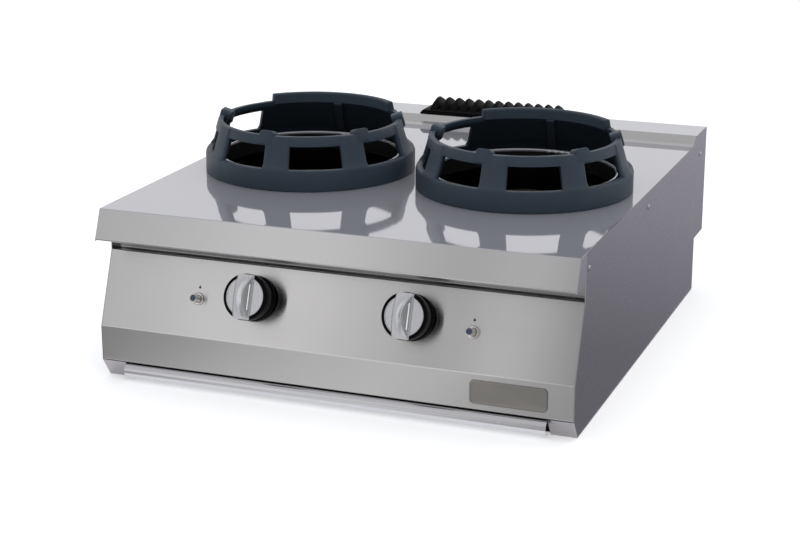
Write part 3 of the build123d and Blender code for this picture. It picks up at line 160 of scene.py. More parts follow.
class Graph(Tree):
    """Node tree of one finish."""

    def __init__(self, name: str) -> None:
        """Start a material with its principled shader.

        Args:
            name: Name of the material.
        """
        self.material = bpy.data.materials.new(name)
        self.material.use_nodes = True
        super().__init__(self.material.node_tree)
        self.shader = next(node for node in self.nodes if node.type == "BSDF_PRINCIPLED")
        self.place = self.node("TexCoord", {}).outputs["Object"]

    def constant(self, socket: str, value: float | tuple[float, ...]) -> None:
        """Set one of the shader's own sockets."""
        self.shader.inputs[socket].default_value = value

    def feed(self, socket: str, source: Socket) -> None:
        """Link a pattern to one of the shader's sockets."""
        self.links.new(source, self.shader.inputs[socket])

    def noise(self, scale: float | Point, detail: float = 2.0, roughness: float = 0.5) -> Socket:
        """Return a noise over the object coordinates.

        Args:
            scale: Scale of the coordinates, one for all axes or one for each.
            detail: Octaves of the noise.
            roughness: Share of the finer octaves.

        Returns:
            The noise, about one half.
        """
        scales = scale if isinstance(scale, tuple) else (scale,) * 3
        place = self.node("Mapping", {"Vector": self.place, "Scale": scales}).outputs[0]
        inputs = {"Vector": place, "Scale": 1.0, "Detail": detail, "Roughness": roughness}
        return self.node("TexNoise", inputs).outputs["Fac"]

    def shaded(self, noise: Socket, colour: Colour, low: float, high: float) -> Socket:
        """Return a colour that a noise makes darker and lighter, between two factors."""
        return self.blend(noise, shade(colour, low), shade(colour, high))

    def varied(self, noise: Socket, value: float, low: float, high: float) -> Socket:
        """Return a value that a noise makes smaller and larger, between two factors."""
        return self.span(noise, *NOISE_RANGE, value * low, value * high)

    def relief(self, height: Socket, strength: float, distance: float) -> None:
        """Give the surface the relief of a height pattern.

        Args:
            height: The pattern.
            strength: Strength of the relief, from 0 to 1.
            distance: Depth of the relief, in metres.
        """
        inputs = {"Height": height, "Strength": strength, "Distance": distance}
        self.feed("Normal", self.node("Bump", inputs).outputs["Normal"])

    def along(self, axis: int) -> Socket:
        """Return one of the object coordinates, in metres."""
        return self.node("SeparateXYZ", {0: self.place}).outputs[axis]

    def distance(self, centre: Point, mirrored: bool = False) -> Socket:
        """Return the level distance from an upright axis.

        Args:
            centre: A point of the axis.
            mirrored: Whether the axis has a twin on the other side of the range.

        Returns:
            The distance, in metres.
        """
        across = self.math("ABSOLUTE", self.along(0)) if mirrored else self.along(0)
        places = (across, self.along(1))
        offsets = {axis: self.math("SUBTRACT", place, centre[axis]) for axis, place in enumerate(places)}
        level = self.node("CombineXYZ", offsets).outputs[0]
        return self.node("VectorMath", {0: level}, operation="LENGTH").outputs["Value"]

    def above(self, value: Socket, bound: float, edge: float = 0.0002) -> Socket:
        """Return one where a value lies above a bound and nought below, over a narrow edge."""
        return self.span(value, bound - edge, bound + edge)

    def below(self, value: Socket, bound: float, edge: float = 0.0002) -> Socket:
        """Return one where a value lies below a bound and nought above, over a narrow edge."""
        return self.span(value, bound - edge, bound + edge, 1.0, 0.0)

    def within(self, value: Socket, low: float, high: float, edge: float = 0.0004) -> Socket:
        """Return one where a value lies between two bounds, and nought elsewhere."""
        return self.math("MULTIPLY", self.above(value, low, edge), self.below(value, high, edge))

    def stretch(self, amount: float | Socket, way: Point) -> None:
        """Stretch reflections along a direction, as a brushed grain does across itself.

        Args:
            amount: Amount of stretch, from 0 to 1.
            way: Direction along which a reflection is stretched.
        """
        self.feed("Tangent", self.node("CombineXYZ", dict(enumerate(way))).outputs[0])
        if isinstance(amount, Socket):
            self.feed("Anisotropic", amount)
        else:
            self.constant("Anisotropic", amount)


def shade(colour: Colour, factor: float) -> Colour:
    """Return a colour made lighter or darker by a factor."""
    return tuple(min(1.0, part * factor) for part in colour)


@dataclass(frozen=True)
class Finish:
    """What every finish states: its name, its colour and how rough and metallic it is."""

    name: str
    colour: Colour
    roughness: float = 0.4
    metallic: float = 0.0

    def material(self) -> bpy.types.Material:
        """Build the material once and return it."""
        found = bpy.data.materials.get(self.name)
        if found is not None:
            return found
        graph = Graph(self.name)
        graph.constant("Metallic", self.metallic)
        self.wire(graph)
        graph.material.diffuse_color = (*self.colour, 1.0)
        return graph.material

    def wire(self, graph: Graph) -> None:
        """Build the pattern: here a faint mottle in colour and gloss."""
        mottle = graph.noise(90.0, detail=3)
        graph.feed("Base Color", graph.shaded(mottle, self.colour, 0.93, 1.07))
        graph.feed("Roughness", graph.varied(mottle, self.roughness, 0.9, 1.1))


@dataclass(frozen=True)
class RolledSheet(Finish):
    """Stainless sheet with a fine grain, faint clouds and wiped smears."""

    metallic: float = 1.0
    grain: Grain = Grain.ALONG_X
    streak: float = 0.025
    relief: float = 0.02
    cloud: float = 0.02
    brushed: float = 0.0
    across: Point = (0.0, 0.35, 0.94)

    def tone(self, graph: Graph, streaks: Socket) -> Socket:
        """Return the colour, varied a little by the streaks."""
        return graph.shaded(streaks, self.colour, 1 - self.streak, 1 + self.streak)

    def wire(self, graph: Graph) -> None:
        """Streaks along the grain vary colour, gloss and relief; clouds vary the gloss."""
        streaks = graph.noise(self.grain.value, detail=3, roughness=0.6)
        smear = graph.span(graph.noise(7.0), *NOISE_RANGE, -self.cloud, self.cloud)
        graph.feed("Base Color", self.tone(graph, streaks))
        graph.feed("Roughness", graph.math("ADD", graph.varied(streaks, self.roughness, 0.88, 1.12), smear))
        graph.relief(streaks, self.relief, 0.0004)
        if self.brushed:
            graph.stretch(self.brushed, self.across)


@dataclass(frozen=True)
class PanelSheet(RolledSheet):
    """Brushed sheet of the control panel, with painted shade in its recess and on its foot and a painted
    highlight along its fold.
    """

    # painted shade in the recess under the worktop's lip: its lower bound and its share of the colour
    recess_shade_z: float = 0.2089
    recess: float = 0.55
    # painted highlight along the fold between the knob panel and the strip: its band of heights and its
    # factor on the colour
    fold_highlight_zs: tuple[float, float] = (0.0892, 0.0912)
    fold: float = 1.25
    # painted shade on the turned-in foot: its top, its soft edge and its share of the colour
    foot_z: float = 0.0318
    foot_shade_edge: float = 0.0003
    foot: float = 0.10

    def tone(self, graph: Graph, streaks: Socket) -> Socket:
        """Return the colour by height: painted shade in the recess, knob panel, painted highlight at the
        fold, strip, and painted shade on the foot.
        """
        height = graph.along(2)
        unshaded = super().tone(graph, streaks)
        # painted highlight along the fold
        folded = graph.blend(graph.within(height, *self.fold_highlight_zs), unshaded, shade(self.colour, self.fold))
        # painted shade in the recess
        recess_shaded = graph.blend(graph.above(height, self.recess_shade_z), folded, shade(self.colour, self.recess))
        # painted shade on the foot
        foot = graph.span(height, self.foot_z - self.foot_shade_edge, self.foot_z, 1.0, 0.0)
        return graph.blend(foot, recess_shaded, shade(self.colour, self.foot))


@dataclass(frozen=True)
class MirrorSheet(Finish):
    """Bright rolled sheet of the worktop, brushed on its lip, its ends and its rear slope."""

    metallic: float = 0.5
    lip_edge_y: float = -0.4302
    lip_edge: float = 0.0003
    end_x: float = 0.3990
    slope_ys: tuple[float, float] = (0.3365, 0.3635)
    fold_colour: Colour = (0.58, 0.575, 0.585)
    fold_roughness: float = 0.18
    fold_brushed: float = 1.0
    collar: Point = (0.195, -0.050, 0.0)
    collar_radius: float = 0.1542
    collar_edge: float = 0.0002
    bead_z: float = 0.3095
    bead_edge: float = 0.0006
    # painted shade inside the collars, under their bead, and the roughness added there
    painted_shade: Colour = (0.012, 0.012, 0.013)
    inside_roughness: float = 0.35
    across: Point = (0.0, 0.35, 0.94)

    def folded(self, graph: Graph) -> Socket:
        """Return one on the lip, the ends and the rear slope."""
        depth = graph.along(1)
        lip = graph.span(depth, self.lip_edge_y - self.lip_edge, self.lip_edge_y, 1.0, 0.0)
        slope = graph.within(depth, *self.slope_ys)
        end = graph.above(graph.math("ABSOLUTE", graph.along(0)), self.end_x)
        return graph.math("MAXIMUM", graph.math("MAXIMUM", lip, slope), end)

    def collar_shade(self, graph: Graph) -> Socket:
        """Return one inside the collars, under their bead, where shade is painted."""
        radius, top = self.collar_radius, self.bead_z
        inside = graph.span(graph.distance(self.collar, True), radius - self.collar_edge, radius, 1.0, 0.0)
        under = graph.span(graph.along(2), top - self.bead_edge, top, 1.0, 0.0)
        return graph.math("MULTIPLY", inside, under)

    def wire(self, graph: Graph) -> None:
        """The folded parts have their own tone, gloss and grain; the collars have painted shade inside."""
        grain = graph.noise(Grain.ALONG_X.value, detail=3, roughness=0.6)
        waves = graph.noise(3.0, detail=1)
        fold, painted_shade = self.folded(graph), self.collar_shade(graph)
        flat = graph.shaded(waves, self.colour, 0.985, 1.015)
        brushed = graph.shaded(grain, self.fold_colour, 0.975, 1.025)
        # the collars' insides take the painted shade
        graph.feed("Base Color", graph.blend(painted_shade, graph.blend(fold, flat, brushed), self.painted_shade))
        graph.feed("Metallic", graph.span(fold, 0.0, 1.0, self.metallic, 1.0))
        extra = graph.math("MULTIPLY", fold, self.fold_roughness - self.roughness)
        gloss = graph.math("ADD", graph.varied(waves, self.roughness, 0.85, 1.15), extra)
        graph.feed("Roughness", graph.math("ADD", gloss, graph.math("MULTIPLY", painted_shade, self.inside_roughness)))
        graph.stretch(graph.math("MULTIPLY", fold, self.fold_brushed), self.across)


@dataclass(frozen=True)
class Casting(Finish):
    """Cast iron: sand-rough relief and a slightly uneven tone."""

    grit: float = 0.35
    grit_scale: float = 900.0
    gloss: float = 0.3

    def tone(self, graph: Graph, waves: Socket) -> Socket:
        """Return the colour, slightly uneven."""
        return graph.shaded(waves, self.colour, 0.86, 1.14)

    def wire(self, graph: Graph) -> None:
        """Fine grit over slow waves gives relief; the waves also vary the tone."""
        grit = graph.noise(self.grit_scale, detail=4, roughness=0.6)
        waves = graph.noise(45.0, detail=3)
        graph.feed("Base Color", self.tone(graph, waves))
        graph.constant("Specular IOR Level", self.gloss)
        graph.feed("Roughness", graph.varied(waves, self.roughness, 0.88, 1.12))
        graph.relief(graph.math("ADD", grit, graph.math("MULTIPLY", waves, 1.5)), self.grit, 0.0006)


@dataclass(frozen=True)
class RingCasting(Casting):
    """Cast iron of a wok ring: blue-black, with painted shade on the inside of the wall, below the rim."""

    centre: Point = (0.195, -0.050, 0.2853)
    foot_radius: float = 0.178
    wall_radius: float = 0.1845
    wall_lean: float = 0.3236
    wall_edge: float = 0.0015
    # painted shade inside the ring: its top over the foot, its soft edge and its darkening factor
    shade_top: float = 0.082
    shade_edge: float = 0.004
    painted_shade: float = 0.30

    def tone(self, graph: Graph, waves: Socket) -> Socket:
        """Darken what lies within the middle of the wall and below the rim: painted shade inside the ring."""
        unshaded = super().tone(graph, waves)
        height = graph.math("SUBTRACT", graph.along(2), self.centre[2])
        lean = graph.math("MULTIPLY", height, -self.wall_lean)
        middle = graph.math("MINIMUM", graph.math("ADD", lean, self.wall_radius), self.foot_radius)
        beyond = graph.math("SUBTRACT", graph.distance(self.centre), middle)
        inside = graph.below(beyond, 0.0, self.wall_edge)
        under = graph.span(height, self.shade_top - self.shade_edge, self.shade_top, 1.0, 0.0)
        # painted shade: the inside of the wall, below the rim, is darkened
        return graph.blend(graph.math("MULTIPLY", inside, under), unshaded, shade(self.colour, self.painted_shade))


@dataclass(frozen=True)
class Moulding(Finish):
    """Moulded plastic with a fine texture, glossy or matt by its roughness."""

    coat: float = 0.0
    coat_roughness: float = 0.08
    gloss: float = 0.5

    def wire(self, graph: Graph) -> None:
        """A fine moulded texture; the coat and the gloss are constants."""
        smear = graph.noise(35.0)
        graph.feed("Base Color", graph.shaded(smear, self.colour, 0.9, 1.15))
        graph.feed("Roughness", graph.varied(smear, self.roughness, 0.8, 1.3))
        graph.relief(graph.noise(1400.0), 0.04, 0.0002)
        graph.constant("Specular IOR Level", self.gloss)
        graph.constant("Coat Weight", self.coat)
        graph.constant("Coat Roughness", self.coat_roughness)


@dataclass(frozen=True)
class TurnedFace(Finish):
    """Satin metal brushed straight up the control panel's slope, as on a knob's insert."""

    metallic: float = 1.0
    lines: Point = (2600.0, 60.0, 60.0)

    def wire(self, graph: Graph) -> None:
        """Fine lines run up the panel, across its width."""
        lines = graph.noise(self.lines, detail=3, roughness=0.7)
        graph.feed("Base Color", graph.shaded(lines, self.colour, 0.9, 1.1))
        graph.feed("Roughness", graph.varied(lines, self.roughness, 0.8, 1.2))
        graph.relief(lines, 0.12, 0.0003)


WORKTOP = MirrorSheet("worktop_bright_sheet", (0.43, 0.43, 0.463), 0.05)
PANEL = PanelSheet("control_panel_sheet", (0.60, 0.59, 0.59), 0.18, brushed=1.0)
SIDE_SHEET = RolledSheet("side_panel_sheet", (0.40, 0.385, 0.40), 0.28, grain=Grain.ALONG_Y)
BACK_SHEET = RolledSheet("back_panel_sheet", (0.50, 0.50, 0.52), 0.34)
INNER_SHEET = RolledSheet("inner_sheet", (0.46, 0.47, 0.48), 0.42, cloud=0.08)
TRAY = RolledSheet("drip_tray_sheet", (0.66, 0.66, 0.69), 0.18, streak=0.02, relief=0.02)
BOWL = RolledSheet("burner_bowl_sheet", (0.055, 0.057, 0.062), 0.24, streak=0.03)
BADGE = RolledSheet("badge_plate_sheet", (0.33, 0.315, 0.30), 0.26, streak=0.04)
BURNER_IRON = Casting("burner_iron", (0.020, 0.020, 0.020), 0.55, grit=0.45)
GRILLE_IRON = Casting("grille_black_enamel", (0.004, 0.004, 0.0045), 0.45, grit=0.18, gloss=0.04)
CAP_BRASS = Casting("burner_cap_brass", (0.060, 0.050, 0.038), 0.5, metallic=1.0, grit=0.2)
BRASS = Finish("valve_brass", (0.62, 0.46, 0.20), 0.30, metallic=1.0)
COPPER = Finish("pipe_copper", (0.66, 0.33, 0.19), 0.30, metallic=1.0)
ZINC_PIPE = Finish("zinc_plated_pipe", (0.52, 0.50, 0.42), 0.38, metallic=1.0)
GROUND_STEEL = Finish("ground_steel", (0.56, 0.56, 0.58), 0.22, metallic=1.0)
CHROME = Finish("igniter_chrome", (0.80, 0.76, 0.71), 0.16, metallic=1.0)
SCREW_STEEL = Finish("screw_steel", (0.50, 0.50, 0.52), 0.22, metallic=1.0)
KNOB_BLACK = Moulding("knob_black_moulding", (0.003, 0.003, 0.0035), 0.24, gloss=0.03)
MATT_BLACK = Moulding("igniter_body_moulding", (0.02, 0.02, 0.022), 0.5)
# painted shade: the groove's grey stands in for the shade either side of the white line
GROOVE_SHADE = Moulding("knob_groove_shade", (0.10, 0.10, 0.105), 0.45)
NAVY_DISH = Moulding("igniter_dish_moulding", (0.030, 0.050, 0.095), 0.30, coat=0.3)
KNOB_SATIN = TurnedFace("knob_satin_face", (0.66, 0.665, 0.69), 0.30)
WHITE_MARK = Moulding("indicator_white", (0.86, 0.86, 0.86), 0.4)
PRINT_BLACK = Moulding("printed_mark_black", (0.04, 0.035, 0.03), 0.5)
CERAMIC = Moulding("electrode_ceramic", (0.80, 0.78, 0.72), 0.25, coat=0.4)
SLEEVE = Moulding("lead_sleeve", (0.42, 0.07, 0.05), 0.55)


# ---------------------------------------------------------------------------------------
# Shapes
# ---------------------------------------------------------------------------------------


class Shape:
    """A mesh in the range's own frame, shaped by Blender's mesh operators."""

    weld = 1e-6

    def __init__(self, place: Matrix | None = None) -> None:
        """Start an empty mesh.

        Args:
            place: Matrix from the shape's own axes to the range's frame.
        """
        self.mesh = bmesh.new()
        self.place = place or Matrix.Identity(4)

    def line(self, points: Sequence[Point], closed: bool = False) -> tuple[list[BMVert], list[BMEdge]]:
        """Draw a chain of edges through points of the shape's own axes.

        Args:
            points: The points, in metres.
            closed: Whether the last point joins the first.

        Returns:
            The new vertices and edges.
        """
        verts = [self.mesh.verts.new(self.place @ Vector(point)) for point in points]
        pairs = list(zip(verts, verts[1:])) + ([(verts[-1], verts[0])] if closed else [])
        return verts, [self.mesh.edges.new(pair) for pair in pairs]

    def lathe(self, outline: Outline, steps: int = 96) -> "Shape":
        """Spin an outline of radius and height about the shape's own Z axis.

        Args:
            outline: Radius and height of each point, in metres.
            steps: Number of steps in the whole turn.

        Returns:
            This shape.
        """
        verts, edges = self.line([(radius, 0, height) for radius, height in outline])
        axis = self.place.to_3x3() @ Vector((0, 0, 1))
        spin(self.mesh, verts + edges, self.place.translation, WHOLE_TURN, steps, axis, merge=True)
        bmesh.ops.remove_doubles(self.mesh, verts=self.mesh.verts, dist=self.weld)
        bmesh.ops.recalc_face_normals(self.mesh, faces=self.mesh.faces)
        return self

    def prism(self, outline: Sequence[Point], way: Point) -> list[BMFace]:
        """Fill a closed outline and extrude it.

        Args:
            outline: Points of the outline, in the shape's own axes.
            way: Direction and length of the extrusion, in the shape's own axes.

        Returns:
            The prism's faces.
        """
        verts, _ = self.line(outline, closed=True)
        floor = self.mesh.faces.new(verts)
        raised = bmesh.ops.extrude_face_region(self.mesh, geom=[floor], use_keep_orig=True)["geom"]
        tops = [item for item in raised if isinstance(item, BMVert)]
        bmesh.ops.translate(self.mesh, verts=tops, vec=self.place.to_3x3() @ Vector(way))
        corners = set(verts) | set(tops)
        faces = [face for face in self.mesh.faces if corners.issuperset(face.verts)]
        bmesh.ops.recalc_face_normals(self.mesh, faces=faces)
        return faces

    def skin(self, loops: Sequence[list[BMEdge]]) -> None:
        """Bridge closed loops of edges in turn and close both ends.

        Args:
            loops: The loops, each a list of its edges.
        """
        for near, far in zip(loops, loops[1:]):
            bmesh.ops.bridge_loops(self.mesh, edges=near + far)
        for end in (loops[0], loops[-1]):
            bmesh.ops.contextual_create(self.mesh, geom=end)

    def soften(
        self, width: float, segments: int = 2, angle: float = 28.0, faces: Sequence[BMFace] = ()
    ) -> "Shape":
        """Bevel the edges that are sharper than an angle.

        Args:
            width: Width of the bevel, in metres.
            segments: Number of segments across it.
            angle: Least angle between an edge's faces, in degrees.
            faces: Faces whose edges are looked at; all, if none are given.

        Returns:
            This shape.
        """
        pool = {edge for face in faces for edge in face.edges} if faces else set(self.mesh.edges)
        least = math.radians(angle)
        sharp = [edge for edge in pool if len(edge.link_faces) == 2 and edge.calc_face_angle(0) > least]
        bmesh.ops.bevel(
            self.mesh,
            geom=sharp,
            offset=width,
            offset_type="OFFSET",
            segments=segments,
            profile=0.5,
            affect="EDGES",
            clamp_overlap=True,
            material=-1,
        )
        return self

    def finish(
        self, name: str, finish: Finish, body: str, slot: str, crease: float = 38.0
    ) -> bpy.types.Object:
        """Make the mesh an object that rides on a body.

        Args:
            name: Name of the piece.
            finish: Its finish.
            body: CAD body that it rides on.
            slot: Material slot of the record; not used.
            crease: Angle above which an edge is shaded sharp, in degrees.

        Returns:
            The new object.
        """
        for face in self.mesh.faces:
            face.smooth = True
        for edge in self.mesh.edges:
            edge.smooth = edge.calc_face_angle(0) < math.radians(crease)
        data = bpy.data.meshes.new(name)
        self.mesh.to_mesh(data)
        self.mesh.free()
        data.materials.append(finish.material())
        piece = bpy.data.objects.new(name, data)
        bpy.context.scene.collection.objects.link(piece)
        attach(piece, body)
        LOG.info("%s: %d faces on %s", name, len(data.polygons), body)
        return piece


def spin(
    mesh: BMesh,
    geom: Sequence[BMVert | BMEdge],
    centre: Vector,
    angle: float,
    steps: int,
    axis: Vector | Point = (0, 0, 1),
    merge: bool = False,
) -> list[BMVert | BMEdge]:
    """Sweep vertices and edges round an axis.

    Args:
        mesh: The mesh.
        geom: Its vertices and edges that are swept.
        centre: Point of the axis.
        angle: Angle of the sweep, in radians.
        steps: Number of steps in it.
        axis: Direction of the axis.
        merge: Whether the last step meets the first.

    Returns:
        The vertices and edges of the last step.
    """
    swept = bmesh.ops.spin(
        mesh, geom=geom, cent=centre, axis=axis, dvec=(0, 0, 0), angle=angle, steps=steps, use_merge=merge
    )
    return swept["geom_last"]


def arc(
    centre: tuple[float, float], radius: float, start: float, end: float, steps: int
) -> list[tuple[float, float]]:
    """Points on an arc of an outline.

    Args:
        centre: Radius and height of the arc's centre.
        radius: Its radius.
        start: Angle of its first point from the radius axis, in degrees.
        end: Angle of its last point.
        steps: Number of steps between them.

    Returns:
        The points, first to last.
    """
    angles = [math.radians(start + (end - start) * step / steps) for step in range(steps + 1)]
    return [(centre[0] + radius * math.cos(angle), centre[1] + radius * math.sin(angle)) for angle in angles]


# ---------------------------------------------------------------------------------------
# Sub-assemblies
# ---------------------------------------------------------------------------------------


@dataclass
class Cabinet:
    """Sheets, inner parts and other CAD nodes whose shape stays as it is."""

    finishes: dict[str, Finish] = field(default_factory=dict)

    def __post_init__(self) -> None:
        """List the finish of each node that is not made anew."""
        single = (
            (WORKTOP, "worktop"),
            (PANEL, "control_panel"),
            (BACK_SHEET, "back_panel"),
            (INNER_SHEET, "base_pan", "front_rail", "rear_rail", "heat_shield", "flue_duct"),
            (TRAY, "drip_tray"),
            (ZINC_PIPE, "gas_manifold", "supply_pipe"),
            (BRASS, "gas_inlet"),
        )
        paired = (
            (SIDE_SHEET, "side_panel"),
            (BOWL, "burner_bowl"),
            (BURNER_IRON, "burner"),
            (CAP_BRASS, "burner_cap"),
            (INNER_SHEET, "pilot_bracket", "tray_runner"),
            (BRASS, "pilot_burner", "gas_valve", "valve_plug", "injector"),
            (COPPER, "pilot_tube", "thermocouple", "feed_pipe"),
            (CERAMIC, "spark_electrode"),
            (SLEEVE, "spark_lead"),
            (GROUND_STEEL, "valve_stem"),
            (MATT_BLACK, "igniter"),
        )
        self.finishes.update({name: finish for finish, *names in single for name in names})
        for side in Side:
            self.finishes.update({side.node(name): finish for finish, *names in paired for name in names})

    def dress(self, nodes: dict[str, bpy.types.Object]) -> None:
        """Give each listed node its finish.

        Args:
            nodes: The CAD nodes by name.
        """
        for name, finish in self.finishes.items():
            piece = nodes[name]
            for slot in piece.material_slots:
                slot.material = finish.material()
            LOG.info("%s: %s", name, finish.name)


@dataclass
class WokRing:
    """Cast ring with eight bays, proud pillars, four tabs and a raised rear rim."""

    side: Side
    centre_x: float = 0.195
    centre_y: float = -0.050
    foot_z: float = 0.2853
    sill: float = 0.0355
    window_top: float = 0.072
    top: float = 0.088
    outer: tuple[tuple[float, float], ...] = (
        (0.0, 0.1825), (0.0300, 0.1825), (0.0355, 0.1813), (0.0395, 0.1783), (0.0435, 0.1753),
        (0.0720, 0.1665), (0.0880, 0.1615),
    )
    inner: tuple[float, ...] = (0.1735, 0.1722, 0.1697, 0.1678, 0.1655, 0.1558, 0.1505)
    recess: tuple[float, ...] = (0.0, 0.0, 0.0006, 0.0016, 0.0022, 0.0022, 0.0022)
    bays: int = 8
    pillar: float = 12.6
    slope: float = 1.2
    turns: tuple[float, float] = (26.25, 22.5)
    closed_bays: tuple[int, ...] = (3, 4)
    rear_rim: tuple[float, float] = (109.0, 203.0)
    band: Outline = (
        (0.1540, 0.0800), (0.1490, 0.0820), (0.1474, 0.0840), (0.1480, 0.0965),
        *arc((0.1516, 0.0982), 0.0036, 180, 90, 4),
        *arc((0.1556, 0.0996), 0.0022, 90, 15, 3),
        (0.1606, 0.0872), (0.1590, 0.0800),
    )
    band_steps: int = 28
    tabs: tuple[float, ...] = (-109.0, -30.0, 30.0, 85.0)
    tab_width: float = 0.026
    tab_top: float = 0.098
    tab_depth: float = 0.020
    tab_corner: float = 0.006
    rib: float = 157.5
    rib_width: float = 0.015
    rib_length: float = 0.085
    rib_depth: float = 0.005
    rounding: float = 0.0013
    added_rounding: float = 0.0016
    clearance: float = 0.0004
    tab_sink: float = 0.014
    rib_bite: float = 0.001
    rib_drop: float = 0.0005
    bay_margin: float = 0.05
    iron: Colour = (0.028, 0.041, 0.058)
    iron_roughness: float = 0.5
    iron_grit: float = 0.25

    @property
    def front_bay(self) -> float:
        """Angle of the front bay's middle from the X axis: each ring lies a little differently."""
        return self.turns[0 if self.side is Side.LEFT else 1] - 90.0

    def middle(self) -> Vector:
        """Return the middle of the ring's foot."""
        return Vector((self.side.value * self.centre_x, self.centre_y, self.foot_z))

    def spot(self, angle: float, radius: float, height: float) -> Vector:
        """Return a point from its angle, its radius and its height over the ring's foot."""
        return self.middle() + Vector((radius * math.cos(angle), radius * math.sin(angle), height))

    def turn_of(self, point: Vector) -> float:
        """Return a point's angle from the front bay's middle, from -180 to 180 degrees."""
        offset = point - self.middle()
        turn = math.degrees(math.atan2(offset.y, offset.x)) - self.front_bay
        return (turn + 180.0) % 360.0 - 180.0

    def bay_of(self, turn: float) -> tuple[int, float]:
        """Return the bay that an angle lies in and its distance from the bay's middle."""
        pitch = 360.0 / self.bays
        bay = round(turn / pitch)
        return bay % self.bays, abs(turn - pitch * bay)

    def level(self, verts: Sequence[BMVert], height: float) -> list[BMVert]:
        """Pick the vertices at a height over the ring's foot."""
        return [vert for vert in verts if abs(vert.co.z - self.foot_z - height) < WELD]

    def widen(self, mesh: BMesh, verts: list[BMVert], radius: float, wanted: float) -> None:
        """Move vertices of one radius to another, level.

        Args:
            mesh: The ring's mesh.
            verts: Vertices that lie at the same radius.
            radius: That radius, in metres.
            wanted: Radius that they move to.
        """
        factor = wanted / radius
        space = Matrix.Translation(-self.middle())
        bmesh.ops.scale(mesh, vec=(factor, factor, 1.0), space=space, verts=verts)

    def wall(self, mesh: BMesh) -> None:
        """Spin the outer wall stretch by stretch, cut the windows and give it its thickness."""
        clear = 360.0 / self.bays - self.pillar - 2 * self.slope
        stretches = ((self.pillar / 2, 2), (self.slope, 1), (clear, 9), (self.slope, 1), (self.pillar / 2, 2))
        start = math.radians(self.front_bay - 180.0 / self.bays)
        verts = [mesh.verts.new(self.spot(start, radius, height)) for height, radius in self.outer]
        last = verts + [mesh.edges.new(pair) for pair in zip(verts, verts[1:])]
        for angle, steps in stretches * self.bays:
            last = spin(mesh, last, self.middle(), math.radians(angle), steps)
        bmesh.ops.remove_doubles(mesh, verts=mesh.verts, dist=WELD)
        bmesh.ops.recalc_face_normals(mesh, faces=mesh.faces)
        openings = []
        for face in mesh.faces:
            place = face.calc_center_median()
            bay, distance = self.bay_of(self.turn_of(place))
            height = place.z - self.foot_z
            if self.sill < height < self.window_top and distance < clear / 2 and bay not in self.closed_bays:
                openings.append(face)
        bmesh.ops.delete(mesh, geom=openings, context="FACES")
        outside = list(mesh.verts)
        raised = bmesh.ops.extrude_face_region(mesh, geom=mesh.faces[:], use_keep_orig=True)["geom"]
        inside = [item for item in raised if isinstance(item, BMVert)]
        for (height, radius), bore, dent in zip(self.outer, self.inner, self.recess):
            self.widen(mesh, self.level(inside, height), radius, bore)
            bay = [
                vert
                for vert in self.level(outside, height)
                if self.bay_of(self.turn_of(vert.co))[1] < clear / 2 + self.bay_margin
            ]
            self.widen(mesh, bay, radius, radius - dent)
        bmesh.ops.recalc_face_normals(mesh, faces=mesh.faces)

    def rear_band(self, shape: Shape) -> None:
        """Lay the thick band along the rear of the rim, where the ring is higher."""
        mesh = shape.mesh
        start, end = (math.radians(self.front_bay + turn) for turn in self.rear_rim)
        verts = [mesh.verts.new(self.spot(start, radius, height)) for radius, height in self.band]
        first = [mesh.edges.new(pair) for pair in zip(verts, verts[1:] + verts[:1])]
        last = spin(mesh, verts + first, self.middle(), end - start, self.band_steps)
        caps = []
        for loop in (first, [item for item in last if isinstance(item, BMEdge)]):
            caps += bmesh.ops.contextual_create(mesh, geom=loop)["faces"]
        linked = {face for cap in caps for vert in cap.verts for face in vert.link_faces}
        faces = list(caps)
        while linked:
            faces += [face for face in linked if face not in caps]
            known = set(faces)
            linked = {near for face in linked for edge in face.edges for near in edge.link_faces} - known
        bmesh.ops.recalc_face_normals(mesh, faces=faces)
        shape.soften(self.added_rounding, segments=3, angle=50.0, faces=caps)

    def block(self, shape: Shape, turn: float, outline: Sequence[Point], way: Point, lean: float) -> None:
        """Add a block to the wall: X along the wall, Y towards the axis, Z up.

        Args:
            shape: The ring's shape.
            turn: Angle of the block from the front bay's middle, in degrees.
            outline: Its outline.
            way: Direction and length of its extrusion.
            lean: Angle by which it leans towards the axis, in radians.
        """
        angle = math.radians(self.front_bay + turn)
        shape.place = (
            Matrix.Translation(self.spot(angle, self.outer[-1][1], self.top))
            @ Matrix.Rotation(angle + math.pi / 2, 4, "Z")
            @ Matrix.Rotation(-lean, 4, "X")
        )
        shape.soften(self.added_rounding, segments=3, faces=shape.prism(outline, way))

    def build(self) -> bpy.types.Object:
        """Build the ring and put it in the place of its CAD node.

        Returns:
            The ring.
        """
        shape = Shape()
        self.wall(shape.mesh)
        shape.soften(self.rounding, segments=3, angle=24.0)
        self.rear_band(shape)
        lean = math.atan((self.outer[-2][1] - self.outer[-1][1]) / (self.top - self.window_top))
        rise = self.tab_top - self.top - self.clearance
        corner, half = self.tab_corner, self.tab_width / 2
        tab = [(-half, -self.tab_sink), (half, -self.tab_sink)]
        tab += arc((half - corner, rise - corner), corner, 0, 90, 4)
        tab += arc((corner - half, rise - corner), corner, 90, 180, 4)
        for turn in self.tabs:
            self.block(shape, turn, [(x, 0.0, z) for x, z in tab], (0, self.tab_depth, 0), lean)
        half, back = self.rib_width / 2, self.outer[-1][1] - self.inner[-1] - self.rib_bite
        foot, top = -self.rib_length, -self.rib_drop
        rib = [(-half, back, foot), (half, back, foot), (half, back, top), (-half, back, top)]
        self.block(shape, self.rib, rib, (0, self.rib_depth + self.rib_bite, 0), lean)
        iron = RingCasting(
            self.side.node("ring_iron"),
            self.iron,
            self.iron_roughness,
            grit=self.iron_grit,
            centre=self.middle(),
        )
        ring = shape.finish(self.side.node("ring"), iron, self.side.node("wok_ring"), "ring_iron")
        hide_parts(self.side.node("wok_ring"))
        return ring


